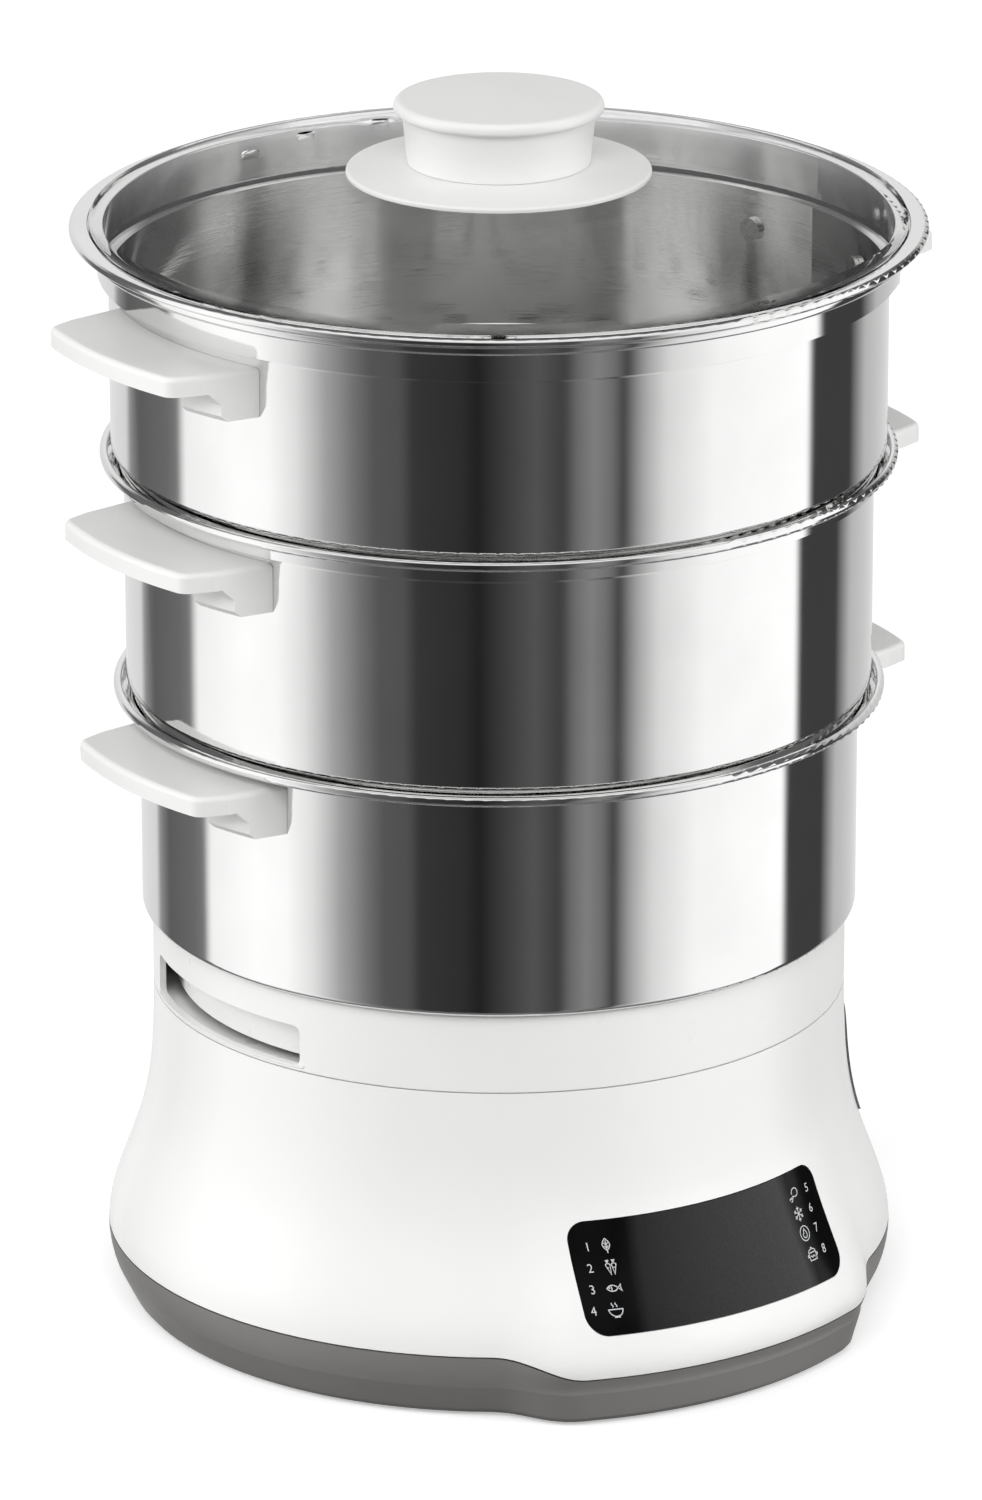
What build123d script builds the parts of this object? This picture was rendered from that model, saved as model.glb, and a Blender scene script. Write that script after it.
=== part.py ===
from build123d import *

import os
from math import asin, cos, degrees, exp, floor, pi, radians, sin, sqrt

# Electric food steamer: a heated base with a water tank, a drip collector, three stacking steel
# bowls with plastic handles, and a domed glass lid.
# Millimetres, +Z up. The control panel faces -Y and the handles lie on +X and -X.
# The origin is on the table, under the middle of the base.
# A size that follows from others is worked out right where it is named.

# ------------------------------------------------------------------ clearances shared by all parts
SEAT_GAP = 0.3            # height left under a part that lifts off its seat
SIDE_GAP = 0.6            # around a foot or spigot inside its socket
FIT_GAP = 0.25            # around a piece set into a recess
TOUCH_GAP = 0.05          # between curved faces that are clamped together
OVERCUT = 1.0             # how far a cutting shape runs past the face it cuts
BLIND_EXTRA = 0.5         # how much deeper a blind hole is than the screw in it

# ------------------------------------------------------------------ base shell
SHELL_TOP_Z = 107.4
SHELL_TOP_R = 113.2
SHELL_WALL = 2.6
RING_R = SHELL_TOP_R - SHELL_WALL      # inside of the shell's top
FLARE_OUT = 15.8          # how much wider the shell is at the seam than at its top
FLARE_REACH = 0.392       # share of the height over which most of the flare is gone
FLARE_CURVE = 1.77        # how round its two ends are
FLARE_SECTIONS = 14
SEAM_R = SHELL_TOP_R + FLARE_OUT
SEAM_Z = 23.3             # parting line of the white housing and the grey cover
SEAM_GAP = 0.6            # shadow line at the parting line
SEAM_DIP = 5.8            # how far the seam drops on the front bump
CREASE_Z = 12.2           # where the grey cover starts to taper in
CREASE_IN = 1.9
COVER_BOTTOM_Z = 1.5
COVER_TAPER_IN = 6.4
COVER_EDGE_RISE = 1.6     # bevel around the underside
COVER_EDGE_IN = 1.4
COVER_FLOOR = 2.5
FLOOR_TOP_Z = COVER_BOTTOM_Z + COVER_FLOOR
LIP_RISE = 4.0            # inner lip of the cover, behind the seam
LIP_WALL = 1.4

BUMP_OUT = 8.2            # front bump that carries the control panel
BUMP_FOOT_OUT = 10.4      # the same at the underside
BUMP_HALF_ANGLE = 29.5
BUMP_BLEND_ANGLE = 11.5
BUMP_RISE = 47.0          # height over which the bump fades into the flare
BUMP_FADE = 1.3           # how quickly it does so

# ------------------------------------------------------------------ water tank and heater
TANK_SIDE_SPACE = 9.6     # between the tank and the shell's top
TANK_R = RING_R - TANK_SIDE_SPACE
TANK_WALL = 2.2
TANK_INNER_R = TANK_R - TANK_WALL
TANK_CORNER = 12.0
TANK_FLOOR_Z = 40.0
TANK_UNDERSIDE_Z = TANK_FLOOR_Z - TANK_WALL
TANK_DROP = 4.1           # tank flange below the top of the shell
TANK_FLANGE = 2.0
TANK_FLANGE_Z = SHELL_TOP_Z - TANK_DROP
LEDGE_Z = TANK_FLANGE_Z - TANK_FLANGE
LEDGE_HEIGHT = 3.0        # ledge in the housing that carries the tank
LEDGE_FOOT_Z = LEDGE_Z - 2 * LEDGE_HEIGHT

HEATER_R = 36.0
HEATER_RISE = 6.0         # heater dome above the tank floor
HEATER_ROUND = 3.5
HEATER_WALL = 2.0
HEATER_FLANGE_R = HEATER_R + 7.5
HEATER_SEAL = 1.5
HEATER_SEAL_INSET = 1.0
HEATER_FLANGE_Z = TANK_UNDERSIDE_Z - HEATER_SEAL
HEATER_UNDERSIDE_Z = HEATER_FLANGE_Z - HEATER_WALL
HEATER_SCREWS = 6
HEATER_SCREW_R = 1.5
HEATER_SCREW_HEAD_R = 2.8
HEATER_SCREW_HEAD = 1.8
HEATER_SCREW_OUT = 3.5    # screws outside the heater's flange
HEATER_SCREW_RING_R = HEATER_FLANGE_R + HEATER_SCREW_OUT
CLAMP_THICK = 1.5
CLAMP_RIM = 4.0           # clamp ring outside its screws
CLAMP_LAP = 4.0           # clamp ring under the heater's flange
ELEMENT_RING_R = 25.0
ELEMENT_R = 3.5
ELEMENT_FLAT = 0.7        # how much of the tube is flattened against the heater
ELEMENT_GAP_ANGLE = 40.0
TERMINAL_ANGLE = 4.0      # terminals in from the tube's ends
TERMINAL_R = 1.6
TERMINAL_LENGTH = 9.0
THERMOSTAT_R = 8.0
THERMOSTAT_HEIGHT = 6.0
BLADE_THICK = 0.8
BLADE_WIDTH = 4.8
BLADE_LENGTH = 7.0
FUSE_R = 2.2
FUSE_LENGTH = 12.0
FUSE_LEAD_R = 0.55
FUSE_CLIP_WIDTH = 5.7
FUSE_SPACE = 7.0          # from the thermostat's side to the middle of the fuse
TURBO_R = 52.0
TURBO_WALL = 2.0
TURBO_HEIGHT = 26.0
TURBO_EDGE = 0.8
TURBO_PORT_R = 4.0
TURBO_PORTS = 8

# ------------------------------------------------------------------ fixings, feet and cord inlet
POST_R = 4.5
POST_TANK_GAP = 1.5
POST_RING_R = TANK_R + POST_TANK_GAP + POST_R
POST_Z = 30.0             # where the cover's posts meet the housing's posts
POST_CAP = 6.0            # solid end of the housing's posts over the screws
POST_RIB = 2.4            # rib that ties a post to the shell
POST_ANGLES = (22.0, 158.0, 202.0, 338.0)
SCREW_R = 1.6
SCREW_HEAD_R = 3.1
SCREW_HEAD_H = 2.2
SCREW_SEAT_Z = POST_Z - 8.0
SCREW_BITE = 12.0
FOOT_R = 9.0
FOOT_INSET = 29.0         # middle of a foot inside the seam
FOOT_RING_R = SEAM_R - FOOT_INSET
FOOT_EDGE = 0.8
FOOT_RECESS = 1.2
FOOT_ANGLES = (45.0, 135.0, 225.0, 315.0)
GLAND_BORE_R = 3.5
GLAND_R = 5.4
GLAND_BARB = 1.2          # inner collar that holds the gland in its hole
GLAND_FLANGE_R = 8.0
GLAND_FLANGE = 2.2
GLAND_LENGTH = 14.0
GLAND_Z = 12.6
GLAND_BOSS_R = 9.4
GLAND_SEAT_Y = SEAM_R + SIDE_GAP

# ------------------------------------------------------------------ control panel
PANEL_BOTTOM_Z = 31.3
PANEL_HEIGHT = 32.9
PANEL_TOP_Z = PANEL_BOTTOM_Z + PANEL_HEIGHT
PANEL_MIDDLE_Z = PANEL_BOTTOM_Z + PANEL_HEIGHT / 2
PANEL_HALF_TOP = 48.0
PANEL_HALF_BOTTOM = 50.3
PANEL_CORNER = 6.0
PANEL_GLASS = 1.6
PANEL_PROUD = 0.15
PANEL_LEDGE = 3.5         # rim of the housing behind the panel's edge
BOARD_SIDE_IN = 5.0       # control board inside the panel's sides
BOARD_END_IN = 1.45       # and inside its top and bottom
BOARD_WIDTH = 2 * (PANEL_HALF_TOP - BOARD_SIDE_IN)
BOARD_HEIGHT = PANEL_HEIGHT - 2 * BOARD_END_IN
BOARD_THICK = 1.6
BOARD_TILT = degrees(asin(FLARE_OUT / (SHELL_TOP_Z - SEAM_Z)))
CARRIER_THICK = 1.8
CARRIER_SIDE = 11.0       # bars of the carrier behind the board
CARRIER_END = 7.0
BOARD_TANK_GAP = 0.35     # between the carrier's upper edge and the tank
BOARD_LEAN = BOARD_HEIGHT / 2 * sin(radians(BOARD_TILT))
BOARD_DEPTH = (BOARD_THICK + CARRIER_THICK) * cos(radians(BOARD_TILT))
BOARD_FRONT_Y = TANK_R + BOARD_TANK_GAP + BOARD_LEAN + BOARD_DEPTH
BOARD_SCREW_R = 1.3
BOARD_SCREW_HEAD_R = 2.4
BOARD_SCREW_HEAD = 1.4
BOARD_SCREW_SIDE_IN = 14.0
BOARD_SCREW_END_IN = 3.5
COLUMN_SIZE = 8.0
COLUMN_SIDE_IN = 6.0
COLUMN_LAP = 6.0          # columns above the panel's lower edge
DISPLAY_WIDTH = 44.0
DISPLAY_HEIGHT = 22.0
DISPLAY_DEPTH = 7.0
KEY_PILLAR_R = 2.5
KEY_ROWS = 4
KEY_HALF_SPAN = BOARD_WIDTH / 2 - KEY_PILLAR_R
KEY_PITCH = 6.4

# ------------------------------------------------------------------ power electronics
POWER_BOARD_WIDTH = 74.0
POWER_BOARD_LENGTH = 40.0
POWER_BOARD_THICK = 1.6
POWER_BOARD_Y = 72.0
POWER_BOARD_Z = 10.0
POWER_BOARD_TOP_Z = POWER_BOARD_Z + POWER_BOARD_THICK
RAIL_WIDTH = 4.0
RAIL_SIDE_IN = 5.0
RAIL_END_IN = 4.0
RELAY_SIZE = (20.0, 16.0, 15.0)
RELAY_X = -16.0
BUZZER_X = 18.0
BUZZER_R = 6.0
BUZZER_HOLE_R = 1.0
BUZZER_HEIGHT = 7.0

# ------------------------------------------------------------------ water level window
WINDOW_ANGLE = 61.0       # from the front towards the right
WINDOW_WIDTH = 17.0
WINDOW_HEIGHT = 37.6
WINDOW_LEDGE_GAP = 3.1    # under the ledge that carries the tank
WINDOW_TOP_Z = LEDGE_FOOT_Z - WINDOW_LEDGE_GAP
WINDOW_MIDDLE_Z = WINDOW_TOP_Z - WINDOW_HEIGHT / 2
WINDOW_PROUD = 0.8
WINDOW_THICK = 1.8
DUCT_WIDTH = 11.0
DUCT_HEIGHT = 20.0
DUCT_WALL = 1.5
DUCT_SEAL = 1.2

# ------------------------------------------------------------------ drip collector
COLLECTOR_R = SHELL_TOP_R + 0.1
COLLECTOR_WALL = 2.2
COLLECTOR_INNER_R = COLLECTOR_R - COLLECTOR_WALL
COLLECTOR_HEIGHT = 26.0
COLLECTOR_BOTTOM_Z = SHELL_TOP_Z + SEAT_GAP
COLLECTOR_TOP_Z = COLLECTOR_BOTTOM_Z + COLLECTOR_HEIGHT
SPIGOT_R = RING_R - SIDE_GAP
SPIGOT_HEIGHT = 3.6       # how far the collector reaches into the shell
SOCKET_DEPTH = 5.1        # of the socket for the bottom bowl's foot
SOCKET_FLOOR = 3.0
SOCKET_Z = COLLECTOR_TOP_Z - SOCKET_DEPTH
SLOT_HALF_ANGLE = 21.4
SLOT_SILL = 1.8           # filling slot above the collector's lower edge
SLOT_HEIGHT = 13.4
SLOT_CORNER = 2.5
SLOT_BOTTOM_Z = COLLECTOR_BOTTOM_Z + SLOT_SILL
EDGE_OUT = 0.35           # raised edge under the filling slot
EDGE_HEIGHT = 1.2
EDGE_LAP = 0.4            # how far it overlaps the slot before the slot is cut
EDGE_MARGIN = 2.25        # how far it runs past the slot's ends
CHUTE_RISE = 1.0          # outer end of the water chute above the collector's lower edge
CHUTE_WALL = 1.8
CHUTE_TANK_GAP = 0.9      # under the chute's inner end, over the tank's flange
CHUTE_LAP = 0.8           # how far the chute reaches past the tank's wall
CHUTE_R = TANK_INNER_R - CHUTE_LAP
CHUTE_LOW_Z = TANK_FLANGE_Z + CHUTE_TANK_GAP
BAFFLE_IN = 7.9           # baffle behind each filling slot, in from the collector's outside
BAFFLE_R = COLLECTOR_R - BAFFLE_IN
BAFFLE_WALL = 1.8
BAFFLE_MARGIN_ANGLE = 9.0    # how far it runs past the slot's ends
BAFFLE_GAP = 2.4          # left under it for the water
TROUGH_TANK_GAP = 3.8     # between the trough and the tank's wall
TROUGH_R = TANK_INNER_R - TROUGH_TANK_GAP
TROUGH_DROP = 3.6         # trough floor below the collector's lower edge
TROUGH_FLOOR_Z = COLLECTOR_BOTTOM_Z - TROUGH_DROP
TROUGH_CORNER = 5.0
TRAY_FLANGE = 1.4         # flange of the tray, sunk into the socket's floor
TRAY_FLANGE_OUT = 8.0
CHIMNEY_R = 32.0
CHIMNEY_DROP = 4.6        # chimney top below the socket's floor
CHIMNEY_TOP_Z = SOCKET_Z - CHIMNEY_DROP
CHIMNEY_FOOT_ROUND = 3.0
CHIMNEY_EDGE = 0.8

# ------------------------------------------------------------------ bowls
SHEET = 0.7               # steel sheet of the bowls
ROLL_HEIGHT = 3.1         # rolled rim
ROLL_WIDTH = 2.6
ROLL_OUTER_ROUND = 1.24
ROLL_INNER_ROUND = 0.78
ROLL_SETBACK = 0.3        # sheet inside the roll's inner edge where it turns out
ROLL_NECK = 0.4           # height over which the neck turns out into the roll
STEP_RISE = 1.7           # slope between wall and neck
SHOULDER_CORNER = 2.2
SHOULDER_SHARE = 0.85     # largest share of a narrow shoulder that its rounding may take
SHOULDER_GAP = 0.6        # between a bowl's shoulder and the rim under it
FOOT_LIP = 5.0            # inward lip that carries the steam plate
FOOT_ROUND = 0.6
PLATE_THICK = 1.0
PLATE_HOLE_R = 2.0
PLATE_PITCH = 11.5
PLATE_MARGIN = 10.0

BOTTOM_SHOULDER = 6.1     # wall beyond the foot
BOTTOM_NECK_OUT = 3.6     # neck beyond the wall
BOTTOM_RIM_OUT = 8.55     # rim beyond the wall
BOTTOM_NECK = 0.5         # straight neck between step and rolled rim
BOTTOM_HEIGHT = 76.4      # shoulder to rim crest
BOTTOM_HANDLE_DROP = 0.3  # top of the handle below the bowl's step

MIDDLE_SHOULDER = 2.05
MIDDLE_NECK_OUT = 3.2
MIDDLE_RIM_OUT = 7.67
MIDDLE_NECK = 3.8
MIDDLE_HEIGHT = 77.8
MIDDLE_HANDLE_DROP = 0.7

TOP_SHOULDER = 2.22
TOP_NECK_OUT = 3.53
TOP_RIM_OUT = 8.13
TOP_NECK = 8.8
TOP_HEIGHT = 70.6
TOP_HANDLE_DROP = 2.3

# ------------------------------------------------------------------ handles
HANDLE_OUT = 27.0         # reach beyond the bowl's wall
HANDLE_ROOT_HALF = 40.8
HANDLE_WAIST_HALF = 38.3
HANDLE_TIP_HALF = 35.2
HANDLE_WAIST_OUT = 13.0
HANDLE_THICK = 6.3
HANDLE_SKIN = 3.0
HANDLE_RIM = 3.2
HANDLE_TIP_CORNER = 5.0
HANDLE_SOFT_EDGE = 1.8
LUG_DEPTH = 12.0          # how far the lugs stand out from the wall
LUG_HEIGHT = 16.0
LUG_INNER_HALF = 22.0
LUG_BLEND = 4.0
LUG_CHAMFER = 2.0
LUG_WEB = 2.5             # web between lug and plate, inside the handle's rim
HANDLE_SCREW_R = 2.0
HANDLE_SCREW_SIDE = (LUG_INNER_HALF + HANDLE_WAIST_HALF) / 2
HANDLE_SCREW_RISE = 5.4   # above the lug's lower end
HANDLE_SCREW_BITE = 9.0
HANDLE_SCREW_HEAD_R = 4.0
HANDLE_SCREW_HEAD = 1.4

# ------------------------------------------------------------------ lid
LID_OVERHANG = 4.3        # lid flange beyond the top bowl's rim
LID_FLANGE = 6.0
LID_FLANGE_THICK = 2.4
LID_FLANGE_UP = 0.7       # flange underside above the rim's seat
LID_FLANGE_OVER_ROUND = 1.5
LID_FLANGE_UNDER_ROUND = 0.8
LID_FLANGE_INNER_ROUND = 0.3
LID_HEM = 1.5
LID_HEM_WALL = 1.1
LID_SKIRT_GAP = 0.9       # between skirt and the top bowl's neck
LID_SKIRT_RISE = 3.1      # skirt's end above the top bowl's step
LID_SKIRT_WALL = 0.8
GLASS_GAP = 0.3
GLASS_THICK = 4.0
GLASS_SAG = 14.9          # height of the dome's crown over its edge
GLASS_EDGE_ROUND = 2.6
GLASS_EDGE_LEAN = 2.0     # how far the underside starts inside the glass's edge
STEAM_HOLE_R = 2.8
STEAM_HOLE_INSET = 40.2
STEAM_HOLE_PITCH = 18.4
STEAM_HOLES = 4
KNOB_BASE_R = 48.9
KNOB_BASE_EDGE = 1.5
KNOB_BASE_ROUND = 0.9
KNOB_BASE_RISE = 1.7      # top of the knob's base over the crown
KNOB_BASE_LEDGE = 1.0     # flat of the base around the knob's foot
KNOB_FOOT_R = 29.3
KNOB_FOOT_ROUND = 0.5
KNOB_NECK_R = 31.0
KNOB_LIP_R = 33.7
KNOB_LIP_RISE = 0.6       # fall of the lip's underside towards the neck
KNOB_UNDER_ROUND = 1.2
KNOB_LIP_ROUND = 2.4
KNOB_NECK_H = 16.4
KNOB_HEIGHT = 21.6
KNOB_CROWN = 0.9
KNOB_HOLLOW_R = 24.5
KNOB_HOLLOW_H = 14.0
KNOB_POST_R = 7.0
KNOB_SCREW_R = 2.5
KNOB_SCREW_HEAD_R = 5.5
KNOB_SCREW_HEAD = 3.0
KNOB_SCREW_SLOT = 1.2
KNOB_SCREW_BITE = 12.0
KNOB_WASHER_R = 9.0
KNOB_WASHER = 1.5
KNOB_WASHER_DROP = 0.1    # fall of the dome's underside over the washer's width


# ================================================================== general helpers
def turned(*corners):
    """Solid of revolution about Z. Each corner of its outline is (radius, height, rounding)."""
    line = FilletPolyline(
        *[(radius, height) for radius, height, _ in corners],
        radius=[rounding for _, _, rounding in corners],
        close=True,
    )
    return revolve(Plane.XZ * make_face(line), Axis.Z)


def drum(radius, low, high):
    """Upright cylinder between two heights."""
    return Pos(0, 0, low) * Cylinder(radius, high - low, align=(Align.CENTER, Align.CENTER, Align.MIN))


def block(size, low):
    """Box with its lowest face at a height, centred on the axis."""
    return Pos(0, 0, low) * Box(*size, align=(Align.CENTER, Align.CENTER, Align.MIN))


def around(angle, radius=0.0):
    """Place at an angle about Z, measured from +X, and a distance from the axis."""
    return Rot(0, 0, angle) * Pos(radius, 0, 0)


def radial_plane(angle, height):
    """Plane whose normal points away from the axis, at an angle from +X; its x runs sideways."""
    outward = (cos(radians(angle)), sin(radians(angle)), 0)
    sideways = (-sin(radians(angle)), cos(radians(angle)), 0)
    return Plane(origin=(0, 0, height), x_dir=sideways, z_dir=outward)


# ================================================================== base shell surface
def smooth(share):
    """Smooth step from 0 to 1."""
    share = min(max(share, 0.0), 1.0)
    return share * share * (3 - 2 * share)


def bump_share(angle_from_front):
    """1 on the front bump, 0 beside it, with a smooth flank between."""
    flank = BUMP_HALF_ANGLE + BUMP_BLEND_ANGLE / 2 - abs(angle_from_front)
    return smooth(flank / BUMP_BLEND_ANGLE)


def section_angles():
    """Angles from the front for a section's points, closer together on the bump."""
    fine = BUMP_BLEND_ANGLE / 4
    bump_edge = BUMP_HALF_ANGLE + 1.25 * BUMP_BLEND_ANGLE
    steps = round(2 * bump_edge / fine)
    on_bump = [-bump_edge + 2 * bump_edge * i / steps for i in range(steps)]
    rest = 360 - 2 * bump_edge
    count = round(rest / 7.5)
    beside = [bump_edge + rest * i / count for i in range(count)]
    return on_bump + beside


def shell_section(height, radius, bump):
    """Closed outline of the base at one height."""
    angles = section_angles()
    points = []
    for angle in angles:
        reach = radius + bump * bump_share(angle if angle <= 180 else angle - 360)
        points.append((reach * sin(radians(angle)), -reach * cos(radians(angle)), height))
    knots = [(angle - angles[0]) / 360 for angle in angles] + [1.0]
    return Face(Wire([Edge.make_spline(points, periodic=True, parameters=knots)]))


def flare_at(up):
    """How far the flare stands out at a share of its height above the seam."""
    return FLARE_OUT * exp(-((up / FLARE_REACH) ** FLARE_CURVE))


def bump_at(height):
    """How far the bump stands out at a height."""
    return BUMP_OUT * (1 - min(max((height - SEAM_Z) / BUMP_RISE, 0), 1)) ** BUMP_FADE


def shell_body(offset):
    """Solid inside the base's side, from the crease to the top, grown outward by an offset."""
    side = [(CREASE_Z, SEAM_R - CREASE_IN), ((CREASE_Z + SEAM_Z) / 2, SEAM_R - CREASE_IN / 5)]
    for i in range(FLARE_SECTIONS + 1):
        up = i / FLARE_SECTIONS
        side.append((SEAM_Z + up * (SHELL_TOP_Z - SEAM_Z), SHELL_TOP_R + flare_at(up)))
    return loft([shell_section(z, r + offset, bump_at(z)) for z, r in side])


def taper_body(offset):
    """Solid inside the cover's tapering underside, grown outward by an offset."""
    bevel_r = SEAM_R - COVER_TAPER_IN
    sections = [
        shell_section(COVER_BOTTOM_Z, bevel_r - COVER_EDGE_IN + offset, BUMP_FOOT_OUT),
        shell_section(COVER_BOTTOM_Z + COVER_EDGE_RISE, bevel_r + offset, BUMP_FOOT_OUT),
        shell_section(CREASE_Z, SEAM_R - CREASE_IN + offset, BUMP_OUT),
    ]
    return loft(sections, ruled=True)


def below_seam(shift):
    """Everything under the parting line, moved up or down; the line dips on the front bump."""
    far = 2 * SEAM_R
    low = COVER_BOTTOM_Z - far
    high = SEAM_Z + shift
    outer = SEAM_R * sin(radians(BUMP_HALF_ANGLE + BUMP_BLEND_ANGLE / 2))
    inner = SEAM_R * sin(radians(BUMP_HALF_ANGLE - BUMP_BLEND_ANGLE / 2))
    level = [(1, 0), (1, 0)]
    outline = [
        Line((-far, high), (-outer, high)),
        Spline((-outer, high), (-inner, high - SEAM_DIP), tangents=level),
        Line((-inner, high - SEAM_DIP), (inner, high - SEAM_DIP)),
        Spline((inner, high - SEAM_DIP), (outer, high), tangents=level),
        Line((outer, high), (far, high)),
        Line((far, high), (far, low)),
        Line((far, low), (-far, low)),
        Line((-far, low), (-far, high)),
    ]
    front = Pos(0, -SEAM_R / 2, 0) * extrude(Plane.XZ * make_face(outline), far)
    back = Pos(0, far - SEAM_R / 2, low) * Box(
        2 * far, 2 * far, high - low, align=(Align.CENTER, Align.CENTER, Align.MIN)
    )
    return front + back


# ================================================================== base: housing and cover
OUTSIDE = shell_body(0)
INSIDE = shell_body(-SHELL_WALL)
POST_PLACES = [around(angle, POST_RING_R) for angle in POST_ANGLES]


def panel_outline(grow):
    """Rounded outline of the control panel, seen from the front."""
    low = PANEL_BOTTOM_Z - grow
    high = PANEL_TOP_Z + grow
    wide = PANEL_HALF_BOTTOM + grow
    narrow = PANEL_HALF_TOP + grow
    corners = [(-wide, low), (wide, low), (narrow, high), (-narrow, high)]
    return make_face(FilletPolyline(*corners, radius=PANEL_CORNER + grow, close=True))


def panel_prism(grow):
    """Panel outline carried from the front to the axis."""
    return extrude(Plane.XZ * panel_outline(grow), 2 * SEAM_R)


def window_plane(distance):
    """Plane that faces the level window from inside, at a distance from the axis."""
    return radial_plane(WINDOW_ANGLE - 90, WINDOW_MIDDLE_Z).offset(distance)


def window_prism(grow):
    """Upright slot with round ends, carried outward from the tank's wall."""
    slot = Rot(0, 0, 90) * SlotOverall(WINDOW_HEIGHT + 2 * grow, WINDOW_WIDTH + 2 * grow)
    return extrude(window_plane(TANK_R) * slot, SEAM_R)


def screw_post(angle, low, high):
    """Round post with a rib that reaches the wall behind it."""
    rib = Pos(SEAM_R / 2, 0, 0) * block((SEAM_R, POST_RIB, high - low), low)
    post = around(angle, POST_RING_R) * (drum(POST_R, low, high) + rib)
    return post & (INSIDE + OUTSIDE)


def base_housing():
    """White shell with the tank ledge, screw posts, panel recess and window opening."""
    shell = OUTSIDE - INSIDE - below_seam(SEAM_GAP / 2)
    ledge = turned(
        (TANK_R + SIDE_GAP, LEDGE_Z, 0),
        (TANK_R + SIDE_GAP, LEDGE_Z - LEDGE_HEIGHT / 2, 0),
        (RING_R + SHELL_WALL / 2, LEDGE_FOOT_Z, 0),
        (RING_R + SHELL_WALL / 2, LEDGE_Z, 0),
    )
    shell += ledge
    screw_end = POST_Z + SCREW_BITE
    for angle in POST_ANGLES:
        shell += screw_post(angle, POST_Z, screw_end + POST_CAP)
    for place in POST_PLACES:
        shell -= place * drum(SCREW_R, POST_Z - OVERCUT, screw_end + BLIND_EXTRA)
    shell -= panel_prism(FIT_GAP) - shell_body(-PANEL_GLASS + PANEL_PROUD - TOUCH_GAP)
    shell -= panel_prism(-PANEL_LEDGE)
    shell -= window_prism(FIT_GAP)
    return shell


def cover_cavity():
    """Hollow inside the grey cover."""
    lower = taper_body(-SHELL_WALL) - block((4 * SEAM_R, 4 * SEAM_R, 2 * FLOOR_TOP_Z), -FLOOR_TOP_Z)
    return lower + INSIDE


def cover_lip():
    """Inner lip of the cover that backs the seam all round."""
    outer = shell_body(-SHELL_WALL - FIT_GAP)
    inner = shell_body(-SHELL_WALL - FIT_GAP - LIP_WALL)
    keep = block((4 * SEAM_R, 4 * SEAM_R, SEAM_Z + LIP_RISE), 0)
    root_top = SEAM_Z - SEAM_DIP - SEAM_GAP
    root = (shell_body(-SHELL_WALL / 2) - inner) & block((4 * SEAM_R, 4 * SEAM_R, root_top), 0)
    return ((outer - inner) & keep) + root


def gland_cylinder(radius, back, length):
    """Cylinder along the cord's axis, from its back end forward."""
    outline = Plane.XZ * Pos(0, GLAND_Z) * Circle(radius)
    return Pos(0, back, 0) * extrude(outline, length)


def base_cover():
    """Grey pan with posts, foot recesses, cord boss and the lip behind the seam."""
    pan = (OUTSIDE & below_seam(-SEAM_GAP / 2)) + taper_body(0)
    pan -= cover_cavity()
    pan += cover_lip()
    for place in POST_PLACES:
        pan += place * drum(POST_R, COVER_BOTTOM_Z, POST_Z)
    pan += gland_cylinder(GLAND_BOSS_R, GLAND_SEAT_Y, GLAND_LENGTH - 2 * GLAND_FLANGE)
    pan -= gland_cylinder(GLAND_R, GLAND_SEAT_Y + OVERCUT, GLAND_LENGTH)
    for place in POST_PLACES:
        pan -= place * drum(SCREW_HEAD_R + FIT_GAP, 0, SCREW_SEAT_Z)
        pan -= place * drum(SCREW_R + FIT_GAP, 0, POST_Z + OVERCUT)
    for angle in FOOT_ANGLES:
        pan -= around(angle, FOOT_RING_R) * drum(FOOT_R + FIT_GAP, 0, COVER_BOTTOM_Z + FOOT_RECESS)
    return pan


def base_screws():
    """Self-tapping screws that join cover and housing."""
    head_low = SCREW_SEAT_Z - SCREW_HEAD_H
    slot = block((SCREW_HEAD_R, SCREW_R / 2, SCREW_HEAD_H / 2), head_low)
    screw = drum(SCREW_R, SCREW_SEAT_Z, POST_Z + SCREW_BITE) + drum(SCREW_HEAD_R, head_low, SCREW_SEAT_Z)
    screw -= slot + Rot(0, 0, 90) * slot
    return Compound([place * screw for place in POST_PLACES])


def rubber_feet():
    """Round feet, bonded into the cover's recesses."""
    top = COVER_BOTTOM_Z + FOOT_RECESS
    foot = turned((0, 0, 0), (FOOT_R, 0, FOOT_EDGE), (FOOT_R, top, 0), (0, top, 0))
    return Compound([around(angle, FOOT_RING_R) * foot for angle in FOOT_ANGLES])


def cord_gland():
    """Rubber bush where the mains cord enters, at the back of the cover."""
    flange_face = GLAND_SEAT_Y + GLAND_FLANGE
    inner_end = flange_face - GLAND_LENGTH
    collar = inner_end + GLAND_FLANGE
    gland = turned(
        (GLAND_BORE_R, inner_end, 0),
        (GLAND_R + GLAND_BARB, inner_end, GLAND_BARB / 2),
        (GLAND_R + GLAND_BARB, collar - TOUCH_GAP, 0),
        (GLAND_R - TOUCH_GAP, collar - TOUCH_GAP, 0),
        (GLAND_R - TOUCH_GAP, GLAND_SEAT_Y, 0),
        (GLAND_FLANGE_R, GLAND_SEAT_Y, 0),
        (GLAND_FLANGE_R, flange_face, GLAND_FLANGE / 2),
        (GLAND_BORE_R, flange_face, 0),
    )
    return Pos(0, 0, GLAND_Z) * Rot(-90, 0, 0) * gland


# ================================================================== base: tank and heater
def heater_screw_places():
    """Places of the screws around the heater's clamp ring."""
    return [around(360 * i / HEATER_SCREWS, HEATER_SCREW_RING_R) for i in range(HEATER_SCREWS)]


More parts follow.
